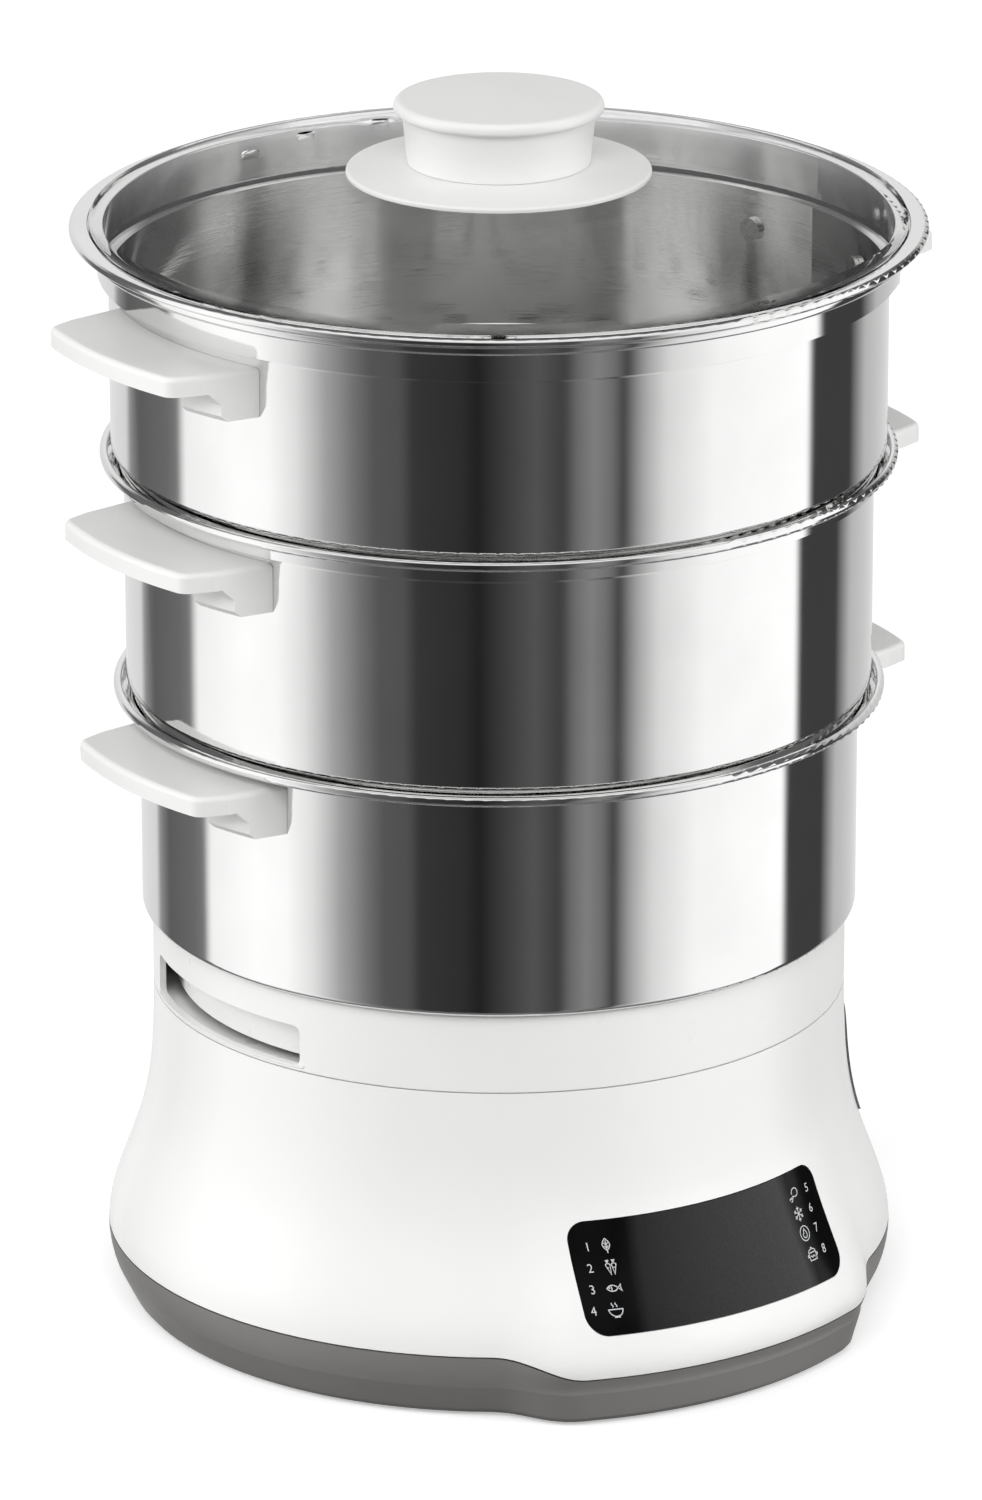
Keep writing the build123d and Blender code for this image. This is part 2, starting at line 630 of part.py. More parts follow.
def window_duct(grow, start, end):
    """Rectangular duct between tank and window, measured from the axis."""
    face = Rectangle(DUCT_WIDTH + 2 * grow, DUCT_HEIGHT + 2 * grow)
    return extrude(window_plane(start) * face, end - start)


def water_tank():
    """Tank with a flange at the top, a hole for the heater and an opening to the level window."""
    tank = turned(
        (HEATER_R + SIDE_GAP, TANK_UNDERSIDE_Z, 0),
        (TANK_R, TANK_UNDERSIDE_Z, TANK_CORNER),
        (TANK_R, LEDGE_Z, 0),
        (RING_R - SIDE_GAP, LEDGE_Z, 0),
        (RING_R - SIDE_GAP, TANK_FLANGE_Z, 0.5),
        (TANK_INNER_R, TANK_FLANGE_Z, 1.0),
        (TANK_INNER_R, TANK_FLOOR_Z, TANK_CORNER - TANK_WALL),
        (HEATER_R + SIDE_GAP, TANK_FLOOR_Z, 0),
    )
    for place in heater_screw_places():
        tank += place * drum(2 * HEATER_SCREW_R, HEATER_UNDERSIDE_Z, TANK_UNDERSIDE_Z)
    for place in heater_screw_places():
        tank -= place * drum(HEATER_SCREW_R, HEATER_UNDERSIDE_Z - OVERCUT, TANK_UNDERSIDE_Z)
    tank -= window_duct(0, TANK_R - 3 * TANK_WALL, TANK_R + 2 * TANK_WALL)
    return tank


def heater_plate():
    """Domed steel plate that closes the tank's floor and carries the element."""
    top = TANK_FLOOR_Z + HEATER_RISE
    return turned(
        (0, HEATER_UNDERSIDE_Z, 0),
        (HEATER_FLANGE_R, HEATER_UNDERSIDE_Z, 0),
        (HEATER_FLANGE_R, HEATER_FLANGE_Z, 0.6),
        (HEATER_R, HEATER_FLANGE_Z, 0),
        (HEATER_R, top, HEATER_ROUND),
        (0, top, 0),
    )


def heater_seal():
    """Silicone ring between heater flange and tank floor."""
    outer = HEATER_FLANGE_R - HEATER_SEAL_INSET
    inner = HEATER_R + SIDE_GAP
    return drum(outer, HEATER_FLANGE_Z, TANK_UNDERSIDE_Z) - drum(inner, 0, SHELL_TOP_Z)


def heater_clamp():
    """Steel ring that presses the heater flange up against its seal."""
    low = HEATER_UNDERSIDE_Z - CLAMP_THICK
    ring = drum(HEATER_SCREW_RING_R + CLAMP_RIM, low, HEATER_UNDERSIDE_Z)
    ring -= drum(HEATER_FLANGE_R - CLAMP_LAP, 0, SHELL_TOP_Z)
    for place in heater_screw_places():
        ring -= place * drum(HEATER_SCREW_R + FIT_GAP, 0, SHELL_TOP_Z)
    return ring


def heater_screws():
    """Screws through the clamp ring into the tank's bosses."""
    seat = HEATER_UNDERSIDE_Z - CLAMP_THICK
    screw = drum(HEATER_SCREW_R, seat, TANK_UNDERSIDE_Z)
    screw += drum(HEATER_SCREW_HEAD_R, seat - HEATER_SCREW_HEAD, seat)
    return Compound([place * screw for place in heater_screw_places()])


def heating_element():
    """Open ring of sheathed tube, flattened against the heater, with its two terminals."""
    centre_z = HEATER_UNDERSIDE_Z - ELEMENT_R + ELEMENT_FLAT
    section = Plane.XZ * Pos(ELEMENT_RING_R, centre_z) * Circle(ELEMENT_R)
    sweep_angle = 360 - ELEMENT_GAP_ANGLE
    ring = revolve(section, Axis.Z, sweep_angle)
    ring -= drum(2 * ELEMENT_RING_R, HEATER_UNDERSIDE_Z, SHELL_TOP_Z)
    for angle in (TERMINAL_ANGLE, sweep_angle - TERMINAL_ANGLE):
        ring += around(angle, ELEMENT_RING_R) * drum(
            TERMINAL_R, centre_z - ELEMENT_R - TERMINAL_LENGTH, centre_z
        )
    return Rot(0, 0, 90 + ELEMENT_GAP_ANGLE / 2) * ring


def thermostat():
    """Disc thermostat under the middle of the heater, with two blade terminals."""
    low = HEATER_UNDERSIDE_Z - THERMOSTAT_HEIGHT
    body = drum(THERMOSTAT_R, low, HEATER_UNDERSIDE_Z)
    blade = block((BLADE_THICK, BLADE_WIDTH, BLADE_LENGTH), low - BLADE_LENGTH)
    for side in (-1, 1):
        body += Pos(side * THERMOSTAT_R / 2, 0, 0) * blade
    return body


def thermal_fuse():
    """Thermal fuse in its flat clip under the heater."""
    centre_z = HEATER_UNDERSIDE_Z - FUSE_R
    fuse = Rot(0, 90, 0) * Cylinder(FUSE_R, FUSE_LENGTH)
    leads = Rot(0, 90, 0) * Cylinder(FUSE_LEAD_R, 2 * FUSE_LENGTH)
    clip = Box(FUSE_LENGTH / 2, FUSE_CLIP_WIDTH, 2 * FUSE_R)
    return Pos(0, -THERMOSTAT_R - FUSE_SPACE, centre_z) * (fuse + leads + clip)


def turbo_ring():
    """Loose ring around the heater that holds back cold water; ports along its lower edge."""
    low = TANK_FLOOR_Z + SEAT_GAP
    ring = turned(
        (TURBO_R - TURBO_WALL, low, 0),
        (TURBO_R, low, 0),
        (TURBO_R - TURBO_WALL, low + TURBO_HEIGHT, TURBO_EDGE),
        (TURBO_R - 2 * TURBO_WALL, low + TURBO_HEIGHT, TURBO_EDGE),
    )
    for i in range(TURBO_PORTS):
        port = Pos(0, 0, low) * Rot(0, 90, 0) * Cylinder(TURBO_PORT_R, TURBO_R)
        ring -= around(360 * (i + 0.5) / TURBO_PORTS, TURBO_R) * port
    return ring


# ================================================================== base: panel and electronics
BOARD_PLANE = Plane(
    origin=(0, -BOARD_FRONT_Y, PANEL_MIDDLE_Z),
    x_dir=(1, 0, 0),
    z_dir=(0, -cos(radians(BOARD_TILT)), sin(radians(BOARD_TILT))),
)


def control_panel():
    """Glossy black panel set flush into the front bump."""
    skin = shell_body(PANEL_PROUD) - shell_body(PANEL_PROUD - PANEL_GLASS)
    return skin & panel_prism(0)


def board_screw_spots():
    """Places of the control board's screws, on the board's plane."""
    across = BOARD_WIDTH / 2 - BOARD_SCREW_SIDE_IN
    up = BOARD_HEIGHT / 2 - BOARD_SCREW_END_IN
    return [(-across, -up), (across, -up), (-across, up), (across, up)]


def control_board():
    """Control board behind the panel."""
    board = BOARD_PLANE * extrude(Rectangle(BOARD_WIDTH, BOARD_HEIGHT), -BOARD_THICK)
    for x, y in board_screw_spots():
        board -= BOARD_PLANE * Pos(x, y, 0) * Cylinder(BOARD_SCREW_R + FIT_GAP, 4 * BOARD_THICK)
    return board


def display_module():
    """Display behind the lighter middle of the panel, standing on the control board."""
    return BOARD_PLANE * extrude(Rectangle(DISPLAY_WIDTH, DISPLAY_HEIGHT), DISPLAY_DEPTH)


def key_pillars():
    """Conductive pillars from the control board to the back of the panel, one per key."""
    reach = shell_body(PANEL_PROUD - PANEL_GLASS - TOUCH_GAP)
    pillars = []
    for side in (-1, 1):
        for row in range(KEY_ROWS):
            up = (row - (KEY_ROWS - 1) / 2) * KEY_PITCH
            spot = Pos(side * KEY_HALF_SPAN, up, 0) * Circle(KEY_PILLAR_R)
            pillars.append(BOARD_PLANE * extrude(spot, SEAM_R) & reach)
    return Compound([solid for pillar in pillars for solid in pillar.solids()])


def board_frame():
    """Carrier that holds the control board on two columns standing on the cover's floor."""
    back = BOARD_PLANE.offset(-BOARD_THICK)
    outline = Rectangle(BOARD_WIDTH, BOARD_HEIGHT)
    opening = Rectangle(BOARD_WIDTH - 2 * CARRIER_SIDE, BOARD_HEIGHT - 2 * CARRIER_END)
    frame = back * extrude(outline - opening, -CARRIER_THICK)
    in_front = back * extrude(Rectangle(SEAM_R, 2 * SEAM_R), SEAM_R)
    height = PANEL_BOTTOM_Z + COLUMN_LAP - FLOOR_TOP_Z
    column = block((COLUMN_SIZE, COLUMN_SIZE, height), FLOOR_TOP_Z)
    for side in (-1, 1):
        frame += Pos(side * (BOARD_WIDTH / 2 - COLUMN_SIDE_IN), -BOARD_FRONT_Y, 0) * column - in_front
    for x, y in board_screw_spots():
        frame -= back * Pos(x, y, 0) * Cylinder(BOARD_SCREW_R, 4 * CARRIER_THICK)
    return frame


def board_screws():
    """Small screws through the control board into its carrier."""
    depth = BOARD_THICK + CARRIER_THICK
    screw = drum(BOARD_SCREW_R, -depth, 0) + drum(BOARD_SCREW_HEAD_R, 0, BOARD_SCREW_HEAD)
    return Compound([BOARD_PLANE * Pos(x, y, 0) * screw for x, y in board_screw_spots()])


def power_board():
    """Power board on two rails, in the back half of the base."""
    board = block((POWER_BOARD_WIDTH, POWER_BOARD_LENGTH, POWER_BOARD_THICK), POWER_BOARD_Z)
    rail_length = POWER_BOARD_LENGTH - 2 * RAIL_END_IN
    rail = block((RAIL_WIDTH, rail_length, POWER_BOARD_Z - FLOOR_TOP_Z), FLOOR_TOP_Z)
    for side in (-1, 1):
        board += Pos(side * (POWER_BOARD_WIDTH / 2 - RAIL_SIDE_IN), 0, 0) * rail
    return Pos(0, POWER_BOARD_Y, 0) * board


def relay():
    """Relay that switches the heater."""
    return Pos(RELAY_X, POWER_BOARD_Y, 0) * block(RELAY_SIZE, POWER_BOARD_TOP_Z)


def buzzer():
    """Round buzzer with its sound hole."""
    body = drum(BUZZER_R, POWER_BOARD_TOP_Z, POWER_BOARD_TOP_Z + BUZZER_HEIGHT)
    body -= drum(BUZZER_HOLE_R, POWER_BOARD_TOP_Z + BUZZER_HEIGHT / 2, SHELL_TOP_Z)
    return Pos(BUZZER_X, POWER_BOARD_Y, 0) * body


# ================================================================== base: level window
def level_window():
    """Tinted window on the right, with a duct that lets the tank's water stand behind it."""
    face = (shell_body(WINDOW_PROUD) - shell_body(WINDOW_PROUD - WINDOW_THICK)) & window_prism(0)
    duct = window_duct(DUCT_WALL, TANK_R + DUCT_SEAL, SEAM_R) & shell_body(WINDOW_PROUD - WINDOW_THICK / 2)
    water = window_duct(0, TANK_R, SEAM_R) & shell_body(WINDOW_PROUD - WINDOW_THICK)
    return face + duct - water


def window_seal():
    """Rubber seal between the window's duct and the tank."""
    ring = window_duct(DUCT_WALL, TANK_R - TANK_WALL, TANK_R + DUCT_SEAL)
    ring -= window_duct(0, 0, SEAM_R)
    return ring - drum(TANK_R, 0, SHELL_TOP_Z)


# ================================================================== drip collector
def slot_cutter(grow):
    """Cutter for the two filling slots, grown all round."""
    # The outline is drawn flat; its width is the chord that the slot's ends span.
    chord = 2 * COLLECTOR_R * sin(radians(SLOT_HALF_ANGLE)) + 2 * grow
    outline = RectangleRounded(chord, SLOT_HEIGHT + 2 * grow, SLOT_CORNER + grow)
    plane = radial_plane(0, SLOT_BOTTOM_Z + SLOT_HEIGHT / 2)
    cutter = plane * extrude(outline, 2 * COLLECTOR_R, both=True)
    return cutter - drum(BAFFLE_R + OVERCUT, 0, COLLECTOR_TOP_Z)


TRAY_SEAT_Z = SOCKET_Z - TRAY_FLANGE
TRAY_R = TROUGH_R + TRAY_FLANGE_OUT


CHUTE_TOP_Z = COLLECTOR_BOTTOM_Z + CHUTE_RISE
CHUTE_SLOPE = (CHUTE_TOP_Z - CHUTE_LOW_Z - CHUTE_WALL) / (COLLECTOR_INNER_R - CHUTE_R)


def slot_baffle():
    """Wall that hangs behind a filling slot and leads the poured water down on the chute."""
    low = CHUTE_LOW_Z + CHUTE_WALL + (BAFFLE_R - CHUTE_R) * CHUTE_SLOPE + BAFFLE_GAP
    high = SOCKET_Z - SOCKET_FLOOR / 2
    section = Pos(BAFFLE_R - BAFFLE_WALL / 2, (low + high) / 2) * Rectangle(BAFFLE_WALL, high - low)
    half_angle = SLOT_HALF_ANGLE + BAFFLE_MARGIN_ANGLE
    return Rot(0, 0, -half_angle) * revolve(Plane.XZ * section, Axis.Z, 2 * half_angle)


def collector_ring():
    """White ring on the base: filling slots with a chute behind them, and the bottom bowl's socket."""
    floor_low = SOCKET_Z - SOCKET_FLOOR
    spigot_low = COLLECTOR_BOTTOM_Z - SPIGOT_HEIGHT
    spigot_inner_r = SPIGOT_R - COLLECTOR_WALL
    ring = turned(
        (spigot_inner_r, spigot_low, 0),
        (SPIGOT_R, spigot_low, 0.6),
        (SPIGOT_R, COLLECTOR_BOTTOM_Z, 0),
        (COLLECTOR_R, COLLECTOR_BOTTOM_Z, 0.4),
        (COLLECTOR_R, COLLECTOR_TOP_Z, 0.8),
        (COLLECTOR_INNER_R, COLLECTOR_TOP_Z, 0.5),
        (COLLECTOR_INNER_R, SOCKET_Z, 0),
        (TRAY_R + FIT_GAP, SOCKET_Z, 0),
        (TRAY_R + FIT_GAP, TRAY_SEAT_Z, 0),
        (TROUGH_R + FIT_GAP, TRAY_SEAT_Z, 0),
        (TROUGH_R + FIT_GAP, floor_low, 0),
        (COLLECTOR_INNER_R, floor_low, 0),
        (COLLECTOR_INNER_R, CHUTE_TOP_Z, 0),
        (CHUTE_R, CHUTE_LOW_Z + CHUTE_WALL, CHUTE_WALL / 3),
        (CHUTE_R, CHUTE_LOW_Z, CHUTE_WALL / 3),
        (spigot_inner_r, CHUTE_LOW_Z + (spigot_inner_r - CHUTE_R) * CHUTE_SLOPE, 0),
    )
    for side in (0, 180):
        ring += around(side) * slot_baffle()
    edge_high = SLOT_BOTTOM_Z + EDGE_LAP
    edge_low = edge_high - EDGE_HEIGHT
    raised = turned(
        (COLLECTOR_R - OVERCUT, edge_low, 0),
        (COLLECTOR_R + EDGE_OUT, edge_low, EDGE_OUT),
        (COLLECTOR_R + EDGE_OUT, edge_high, 0),
        (COLLECTOR_R - OVERCUT, edge_high, 0),
    )
    raised &= slot_cutter(EDGE_MARGIN)
    return ring + raised - slot_cutter(0)


def juice_tray():
    """White trough for juices, with the chimney that the steam rises through."""
    return turned(
        (CHIMNEY_R, TROUGH_FLOOR_Z - COLLECTOR_WALL, 0),
        (TROUGH_R, TROUGH_FLOOR_Z - COLLECTOR_WALL, TROUGH_CORNER + COLLECTOR_WALL),
        (TROUGH_R, TRAY_SEAT_Z, 0),
        (TRAY_R, TRAY_SEAT_Z, 0),
        (TRAY_R, SOCKET_Z, 0),
        (TROUGH_R - COLLECTOR_WALL, SOCKET_Z, TRAY_FLANGE / 2),
        (TROUGH_R - COLLECTOR_WALL, TROUGH_FLOOR_Z, TROUGH_CORNER),
        (CHIMNEY_R + COLLECTOR_WALL, TROUGH_FLOOR_Z, CHIMNEY_FOOT_ROUND),
        (CHIMNEY_R + COLLECTOR_WALL, CHIMNEY_TOP_Z, CHIMNEY_EDGE),
        (CHIMNEY_R, CHIMNEY_TOP_Z, CHIMNEY_EDGE),
    )


# ================================================================== bowls
class BowlSize:
    """Radii and heights of one bowl, worked out from its own sizes and the seat under it."""

    def __init__(self, name, foot_r, shoulder, neck_out, rim_out, neck, height, drop, under, seat_z):
        self.name = name
        self.foot_r = foot_r
        self.foot_z = seat_z + SEAT_GAP
        self.wall_r = foot_r + shoulder
        self.neck_r = self.wall_r + neck_out
        self.rim_r = self.wall_r + rim_out
        self.shoulder_z = under + SHOULDER_GAP
        self.rim_z = self.shoulder_z + height
        self.step_z = self.rim_z - ROLL_HEIGHT - ROLL_NECK - neck - STEP_RISE
        self.handle_z = self.step_z - drop

    def neck_inner_r(self):
        return self.neck_r - SHEET

    def seat_at(self, radius):
        """Height of the inner slope of the step at a radius."""
        slope_low = self.wall_r - SHEET
        share = (radius - slope_low) / (self.neck_inner_r() - slope_low)
        return self.step_z + SHEET / 2 + share * STEP_RISE


def foot_in_neck(lower):
    """Radius of the foot that stands inside the neck of the bowl below."""
    return lower.neck_inner_r() - SIDE_GAP


BOTTOM = BowlSize(
    "bottom", COLLECTOR_INNER_R - SIDE_GAP, BOTTOM_SHOULDER, BOTTOM_NECK_OUT, BOTTOM_RIM_OUT,
    BOTTOM_NECK, BOTTOM_HEIGHT, BOTTOM_HANDLE_DROP, COLLECTOR_TOP_Z, SOCKET_Z,
)
MIDDLE = BowlSize(
    "middle", foot_in_neck(BOTTOM), MIDDLE_SHOULDER, MIDDLE_NECK_OUT, MIDDLE_RIM_OUT,
    MIDDLE_NECK, MIDDLE_HEIGHT, MIDDLE_HANDLE_DROP, BOTTOM.rim_z, BOTTOM.seat_at(foot_in_neck(BOTTOM)),
)
TOP = BowlSize(
    "top", foot_in_neck(MIDDLE), TOP_SHOULDER, TOP_NECK_OUT, TOP_RIM_OUT,
    TOP_NECK, TOP_HEIGHT, TOP_HANDLE_DROP, MIDDLE.rim_z, MIDDLE.seat_at(foot_in_neck(MIDDLE)),
)
BOWLS = (BOTTOM, MIDDLE, TOP)


def handle_screw_places(bowl):
    """Planes on the axis that face outward through the bowl's handle screws."""
    height = bowl.handle_z - LUG_HEIGHT + HANDLE_SCREW_RISE
    turn = degrees(asin(HANDLE_SCREW_SIDE / (bowl.wall_r + LUG_DEPTH / 2)))
    return {
        "right": [radial_plane(angle, height) for angle in (-turn, turn)],
        "left": [radial_plane(180 + angle, height) for angle in (-turn, turn)],
    }


def bowl_shell(bowl):
    """Drawn steel bowl: foot, shoulder, wall, step, neck and rolled rim."""
    roll_low = bowl.rim_z - ROLL_HEIGHT
    roll_in = bowl.rim_r - ROLL_WIDTH
    flare_low = roll_low - ROLL_NECK
    step_top = bowl.step_z + STEP_RISE
    corner = min(SHOULDER_CORNER, SHOULDER_SHARE * (bowl.wall_r - bowl.foot_r))
    shell = turned(
        (bowl.foot_r - FOOT_LIP, bowl.foot_z, 0),
        (bowl.foot_r, bowl.foot_z, FOOT_ROUND),
        (bowl.foot_r, bowl.shoulder_z, 0),
        (bowl.wall_r, bowl.shoulder_z, corner),
        (bowl.wall_r, bowl.step_z, 0),
        (bowl.neck_r, step_top, 0),
        (bowl.neck_r, flare_low, 0),
        (roll_in + ROLL_SETBACK, roll_low, 0),
        (bowl.rim_r, roll_low, ROLL_OUTER_ROUND),
        (bowl.rim_r, bowl.rim_z, ROLL_OUTER_ROUND),
        (roll_in, bowl.rim_z, ROLL_INNER_ROUND),
        (roll_in, roll_low + SHEET, 0),
        (bowl.neck_inner_r(), flare_low - SHEET, 0),
        (bowl.neck_inner_r(), step_top + SHEET / 2, 0),
        (bowl.wall_r - SHEET, bowl.step_z + SHEET / 2, 0),
        (bowl.wall_r - SHEET, bowl.shoulder_z + SHEET, max(corner - SHEET, 0)),
        (bowl.foot_r - SHEET, bowl.shoulder_z + SHEET, 0),
        (bowl.foot_r - SHEET, bowl.foot_z + SHEET, 0),
        (bowl.foot_r - FOOT_LIP, bowl.foot_z + SHEET, 0),
    )
    for planes in handle_screw_places(bowl).values():
        for plane in planes:
            shell -= extrude(plane * Circle(HANDLE_SCREW_R + FIT_GAP), 2 * bowl.wall_r)
    return shell


def steam_plate(bowl):
    """Perforated floor that lies on the lip of the bowl's foot."""
    radius = bowl.foot_r - SHEET - FIT_GAP
    low = bowl.foot_z + SHEET
    rings = floor((radius - PLATE_MARGIN) / PLATE_PITCH)
    holes = [Wire.make_circle(PLATE_HOLE_R, Plane((0, 0, low)))]
    for ring in range(1, rings + 1):
        ring_r = ring * PLATE_PITCH
        count = 6 * ring
        for i in range(count):
            turn = 2 * pi * i / count
            holes.append(
                Wire.make_circle(PLATE_HOLE_R, Plane((ring_r * cos(turn), ring_r * sin(turn), low)))
            )
    face = Face(Wire.make_circle(radius, Plane((0, 0, low))), holes)
    return extrude(face, PLATE_THICK, dir=(0, 0, 1))


def handle_outline(bowl, inset, inner_r):
    """Outline of a handle seen from above, on the +X side; the inset shrinks it all round."""
    tip_r = bowl.wall_r + HANDLE_OUT - inset
    root = HANDLE_ROOT_HALF - inset
    waist_x = bowl.wall_r + HANDLE_WAIST_OUT
    waist = HANDLE_WAIST_HALF - inset
    tip_half = HANDLE_TIP_HALF - inset
    tip_x = sqrt(tip_r**2 - tip_half**2)
    root_x = sqrt(inner_r**2 - root**2)
    outline = make_face(
        [
            Line((root_x, -root), (waist_x, -waist)),
            Line((waist_x, -waist), (tip_x, -tip_half)),
            ThreePointArc((tip_x, -tip_half), (tip_r, 0), (tip_x, tip_half)),
            Line((tip_x, tip_half), (waist_x, waist)),
            Line((waist_x, waist), (root_x, root)),
            ThreePointArc((root_x, root), (inner_r, 0), (root_x, -root)),
        ]
    )
    tips = outline.vertices().filter_by(lambda v: abs(v.X - tip_x) < 0.01)
    return fillet(tips, HANDLE_TIP_CORNER)


def handle(bowl, side):
    """Plastic handle: a hollowed plate with a lug at each end that takes a screw."""
    top = bowl.handle_z
    seat_r = bowl.wall_r + TOUCH_GAP
    plate_low = top - HANDLE_THICK
    lug_low = top - LUG_HEIGHT
    lug_r = bowl.wall_r + LUG_DEPTH
    plate = Pos(0, 0, plate_low) * extrude(handle_outline(bowl, 0, seat_r), HANDLE_THICK)
    edge = plate.faces().sort_by(Axis.Z)[-1].edges().filter_by(lambda e: e.center().X > seat_r + FIT_GAP)
    plate = fillet(edge, HANDLE_SOFT_EDGE)
    pocket = Pos(0, 0, plate_low - OVERCUT) * extrude(
        handle_outline(bowl, HANDLE_RIM, lug_r - LUG_BLEND), HANDLE_THICK - HANDLE_SKIN + OVERCUT
    )
    lug_face = handle_outline(bowl, 0, seat_r) & Circle(lug_r)
    lug = Pos(0, 0, lug_low) * extrude(lug_face, LUG_HEIGHT - HANDLE_SKIN)
    lug -= Box(4 * bowl.wall_r, 2 * LUG_INNER_HALF, 4 * bowl.rim_z)
    wedge = Plane.XZ * make_face(
        Polyline(
            (lug_r - LUG_CHAMFER, lug_low),
            (lug_r + OVERCUT, lug_low),
            (lug_r + OVERCUT, lug_low + LUG_CHAMFER + OVERCUT),
            close=True,
        )
    )
    lug -= revolve(wedge, Axis.Z)
    web = turned(
        (lug_r - LUG_BLEND, plate_low - LUG_BLEND, 0),
        (lug_r, plate_low - LUG_BLEND, 0),
        (lug_r + LUG_BLEND, plate_low, 0),
        (lug_r + LUG_BLEND, plate_low + OVERCUT, 0),
        (lug_r - LUG_BLEND, plate_low + OVERCUT, 0),
    )
    web &= Pos(0, 0, lug_low) * extrude(handle_outline(bowl, 0, seat_r), LUG_HEIGHT - HANDLE_SKIN)
    web -= Box(4 * bowl.wall_r, 2 * (HANDLE_ROOT_HALF - HANDLE_RIM - LUG_WEB), 4 * bowl.rim_z)
    solid = plate - pocket + lug + web
    for plane in handle_screw_places(bowl)["right"]:
        solid -= extrude(plane * Circle(HANDLE_SCREW_R), seat_r + HANDLE_SCREW_BITE + BLIND_EXTRA)
    return solid if side == "right" else Rot(0, 0, 180) * solid


def handle_screws(bowl):
    """Four screws from inside the bowl into the lugs of its handles."""
    inner = sqrt((bowl.wall_r - SHEET) ** 2 - HANDLE_SCREW_HEAD_R**2) - TOUCH_GAP
    length = bowl.wall_r + HANDLE_SCREW_BITE - inner
    screws = []
    for planes in handle_screw_places(bowl).values():
        for plane in planes:
            shank = plane.offset(inner) * extrude(Circle(HANDLE_SCREW_R), length)
            head = plane.offset(inner - HANDLE_SCREW_HEAD) * extrude(
                Circle(HANDLE_SCREW_HEAD_R), HANDLE_SCREW_HEAD
            )
            screws.append(shank + head)
    return Compound([solid for screw in screws for solid in screw.solids()])


# ================================================================== lid
LID_R = TOP.rim_r + LID_OVERHANG
LID_SEAT_Z = TOP.rim_z + SEAT_GAP           # underside of the rim's hem
GLASS_SEAT_Z = LID_SEAT_Z + LID_HEM
GLASS_R = LID_R - LID_FLANGE - GLASS_GAP
CROWN_Z = GLASS_SEAT_Z + GLASS_THICK + GLASS_SAG
DOME_R = (GLASS_R**2 + GLASS_SAG**2) / (2 * GLASS_SAG)
STEAM_HOLE_RING_R = GLASS_R - STEAM_HOLE_INSET
SKIRT_R = TOP.neck_inner_r() - LID_SKIRT_GAP
SKIRT_LOW_Z = TOP.step_z + STEP_RISE + LID_SKIRT_RISE
KNOB_SEAT_Z = CROWN_Z + KNOB_BASE_RISE


def dome_z(radius, offset=0.0):
    """Height of the dome at a radius, moved outward by an offset."""
    return CROWN_Z - DOME_R + sqrt((DOME_R + offset) ** 2 - radius**2)


def dome_arc(start, end, offset=0.0):
    """Arc of the dome between two radii, in the outline's plane."""
    middle = (start + end) / 2
    return ThreePointArc(*[(r, dome_z(r, offset)) for r in (start, middle, end)])


def steam_hole_angles():
    """Angles of the steam holes, spread about the back of the lid."""
    first = 90 - STEAM_HOLE_PITCH * (STEAM_HOLES - 1) / 2
    return [first + STEAM_HOLE_PITCH * i for i in range(STEAM_HOLES)]


def lid_glass():
    """Domed glass with steam holes at the back and a hole for the knob's screw."""
    under_r = GLASS_R - GLASS_EDGE_LEAN
    outline = make_face(
        [
            dome_arc(0, GLASS_R),
            Line((GLASS_R, dome_z(GLASS_R)), (GLASS_R, GLASS_SEAT_Z)),
            Line((GLASS_R, GLASS_SEAT_Z), (under_r, dome_z(under_r, -GLASS_THICK))),
            dome_arc(under_r, 0, -GLASS_THICK),
            Line((0, dome_z(0, -GLASS_THICK)), (0, dome_z(0))),
        ]
    )
    edge = outline.vertices().filter_by_position(Axis.X, GLASS_R - FIT_GAP, GLASS_R + FIT_GAP)
    glass = revolve(Plane.XZ * fillet(edge.sort_by(Axis.Y)[-1], GLASS_EDGE_ROUND), Axis.Z)
    glass -= drum(2 * KNOB_SCREW_R, GLASS_SEAT_Z, CROWN_Z + OVERCUT)
    for angle in steam_hole_angles():
        glass -= around(angle, STEAM_HOLE_RING_R) * drum(STEAM_HOLE_R, GLASS_SEAT_Z, CROWN_Z + OVERCUT)
    return glass


def lid_rim():
    """Formed steel rim: flange, seat for the glass, hem and a skirt that centres the lid."""
    flange_low = LID_SEAT_Z + LID_FLANGE_UP
    flange_top = flange_low + LID_FLANGE_THICK
    inner = LID_R - LID_FLANGE
    hem_r = inner + LID_HEM_WALL
    return turned(
        (inner, flange_top, LID_FLANGE_INNER_ROUND),
        (LID_R, flange_top, LID_FLANGE_OVER_ROUND),
        (LID_R, flange_low, LID_FLANGE_UNDER_ROUND),
        (hem_r, flange_low, 0),
        (hem_r, LID_SEAT_Z, LID_HEM / 3),
        (SKIRT_R, LID_SEAT_Z, 0),
        (SKIRT_R, SKIRT_LOW_Z, 0),
        (SKIRT_R - LID_SKIRT_WALL, SKIRT_LOW_Z, 0),
        (SKIRT_R - LID_SKIRT_WALL, GLASS_SEAT_Z, LID_SKIRT_WALL / 2),
        (inner, GLASS_SEAT_Z, 0),
    )


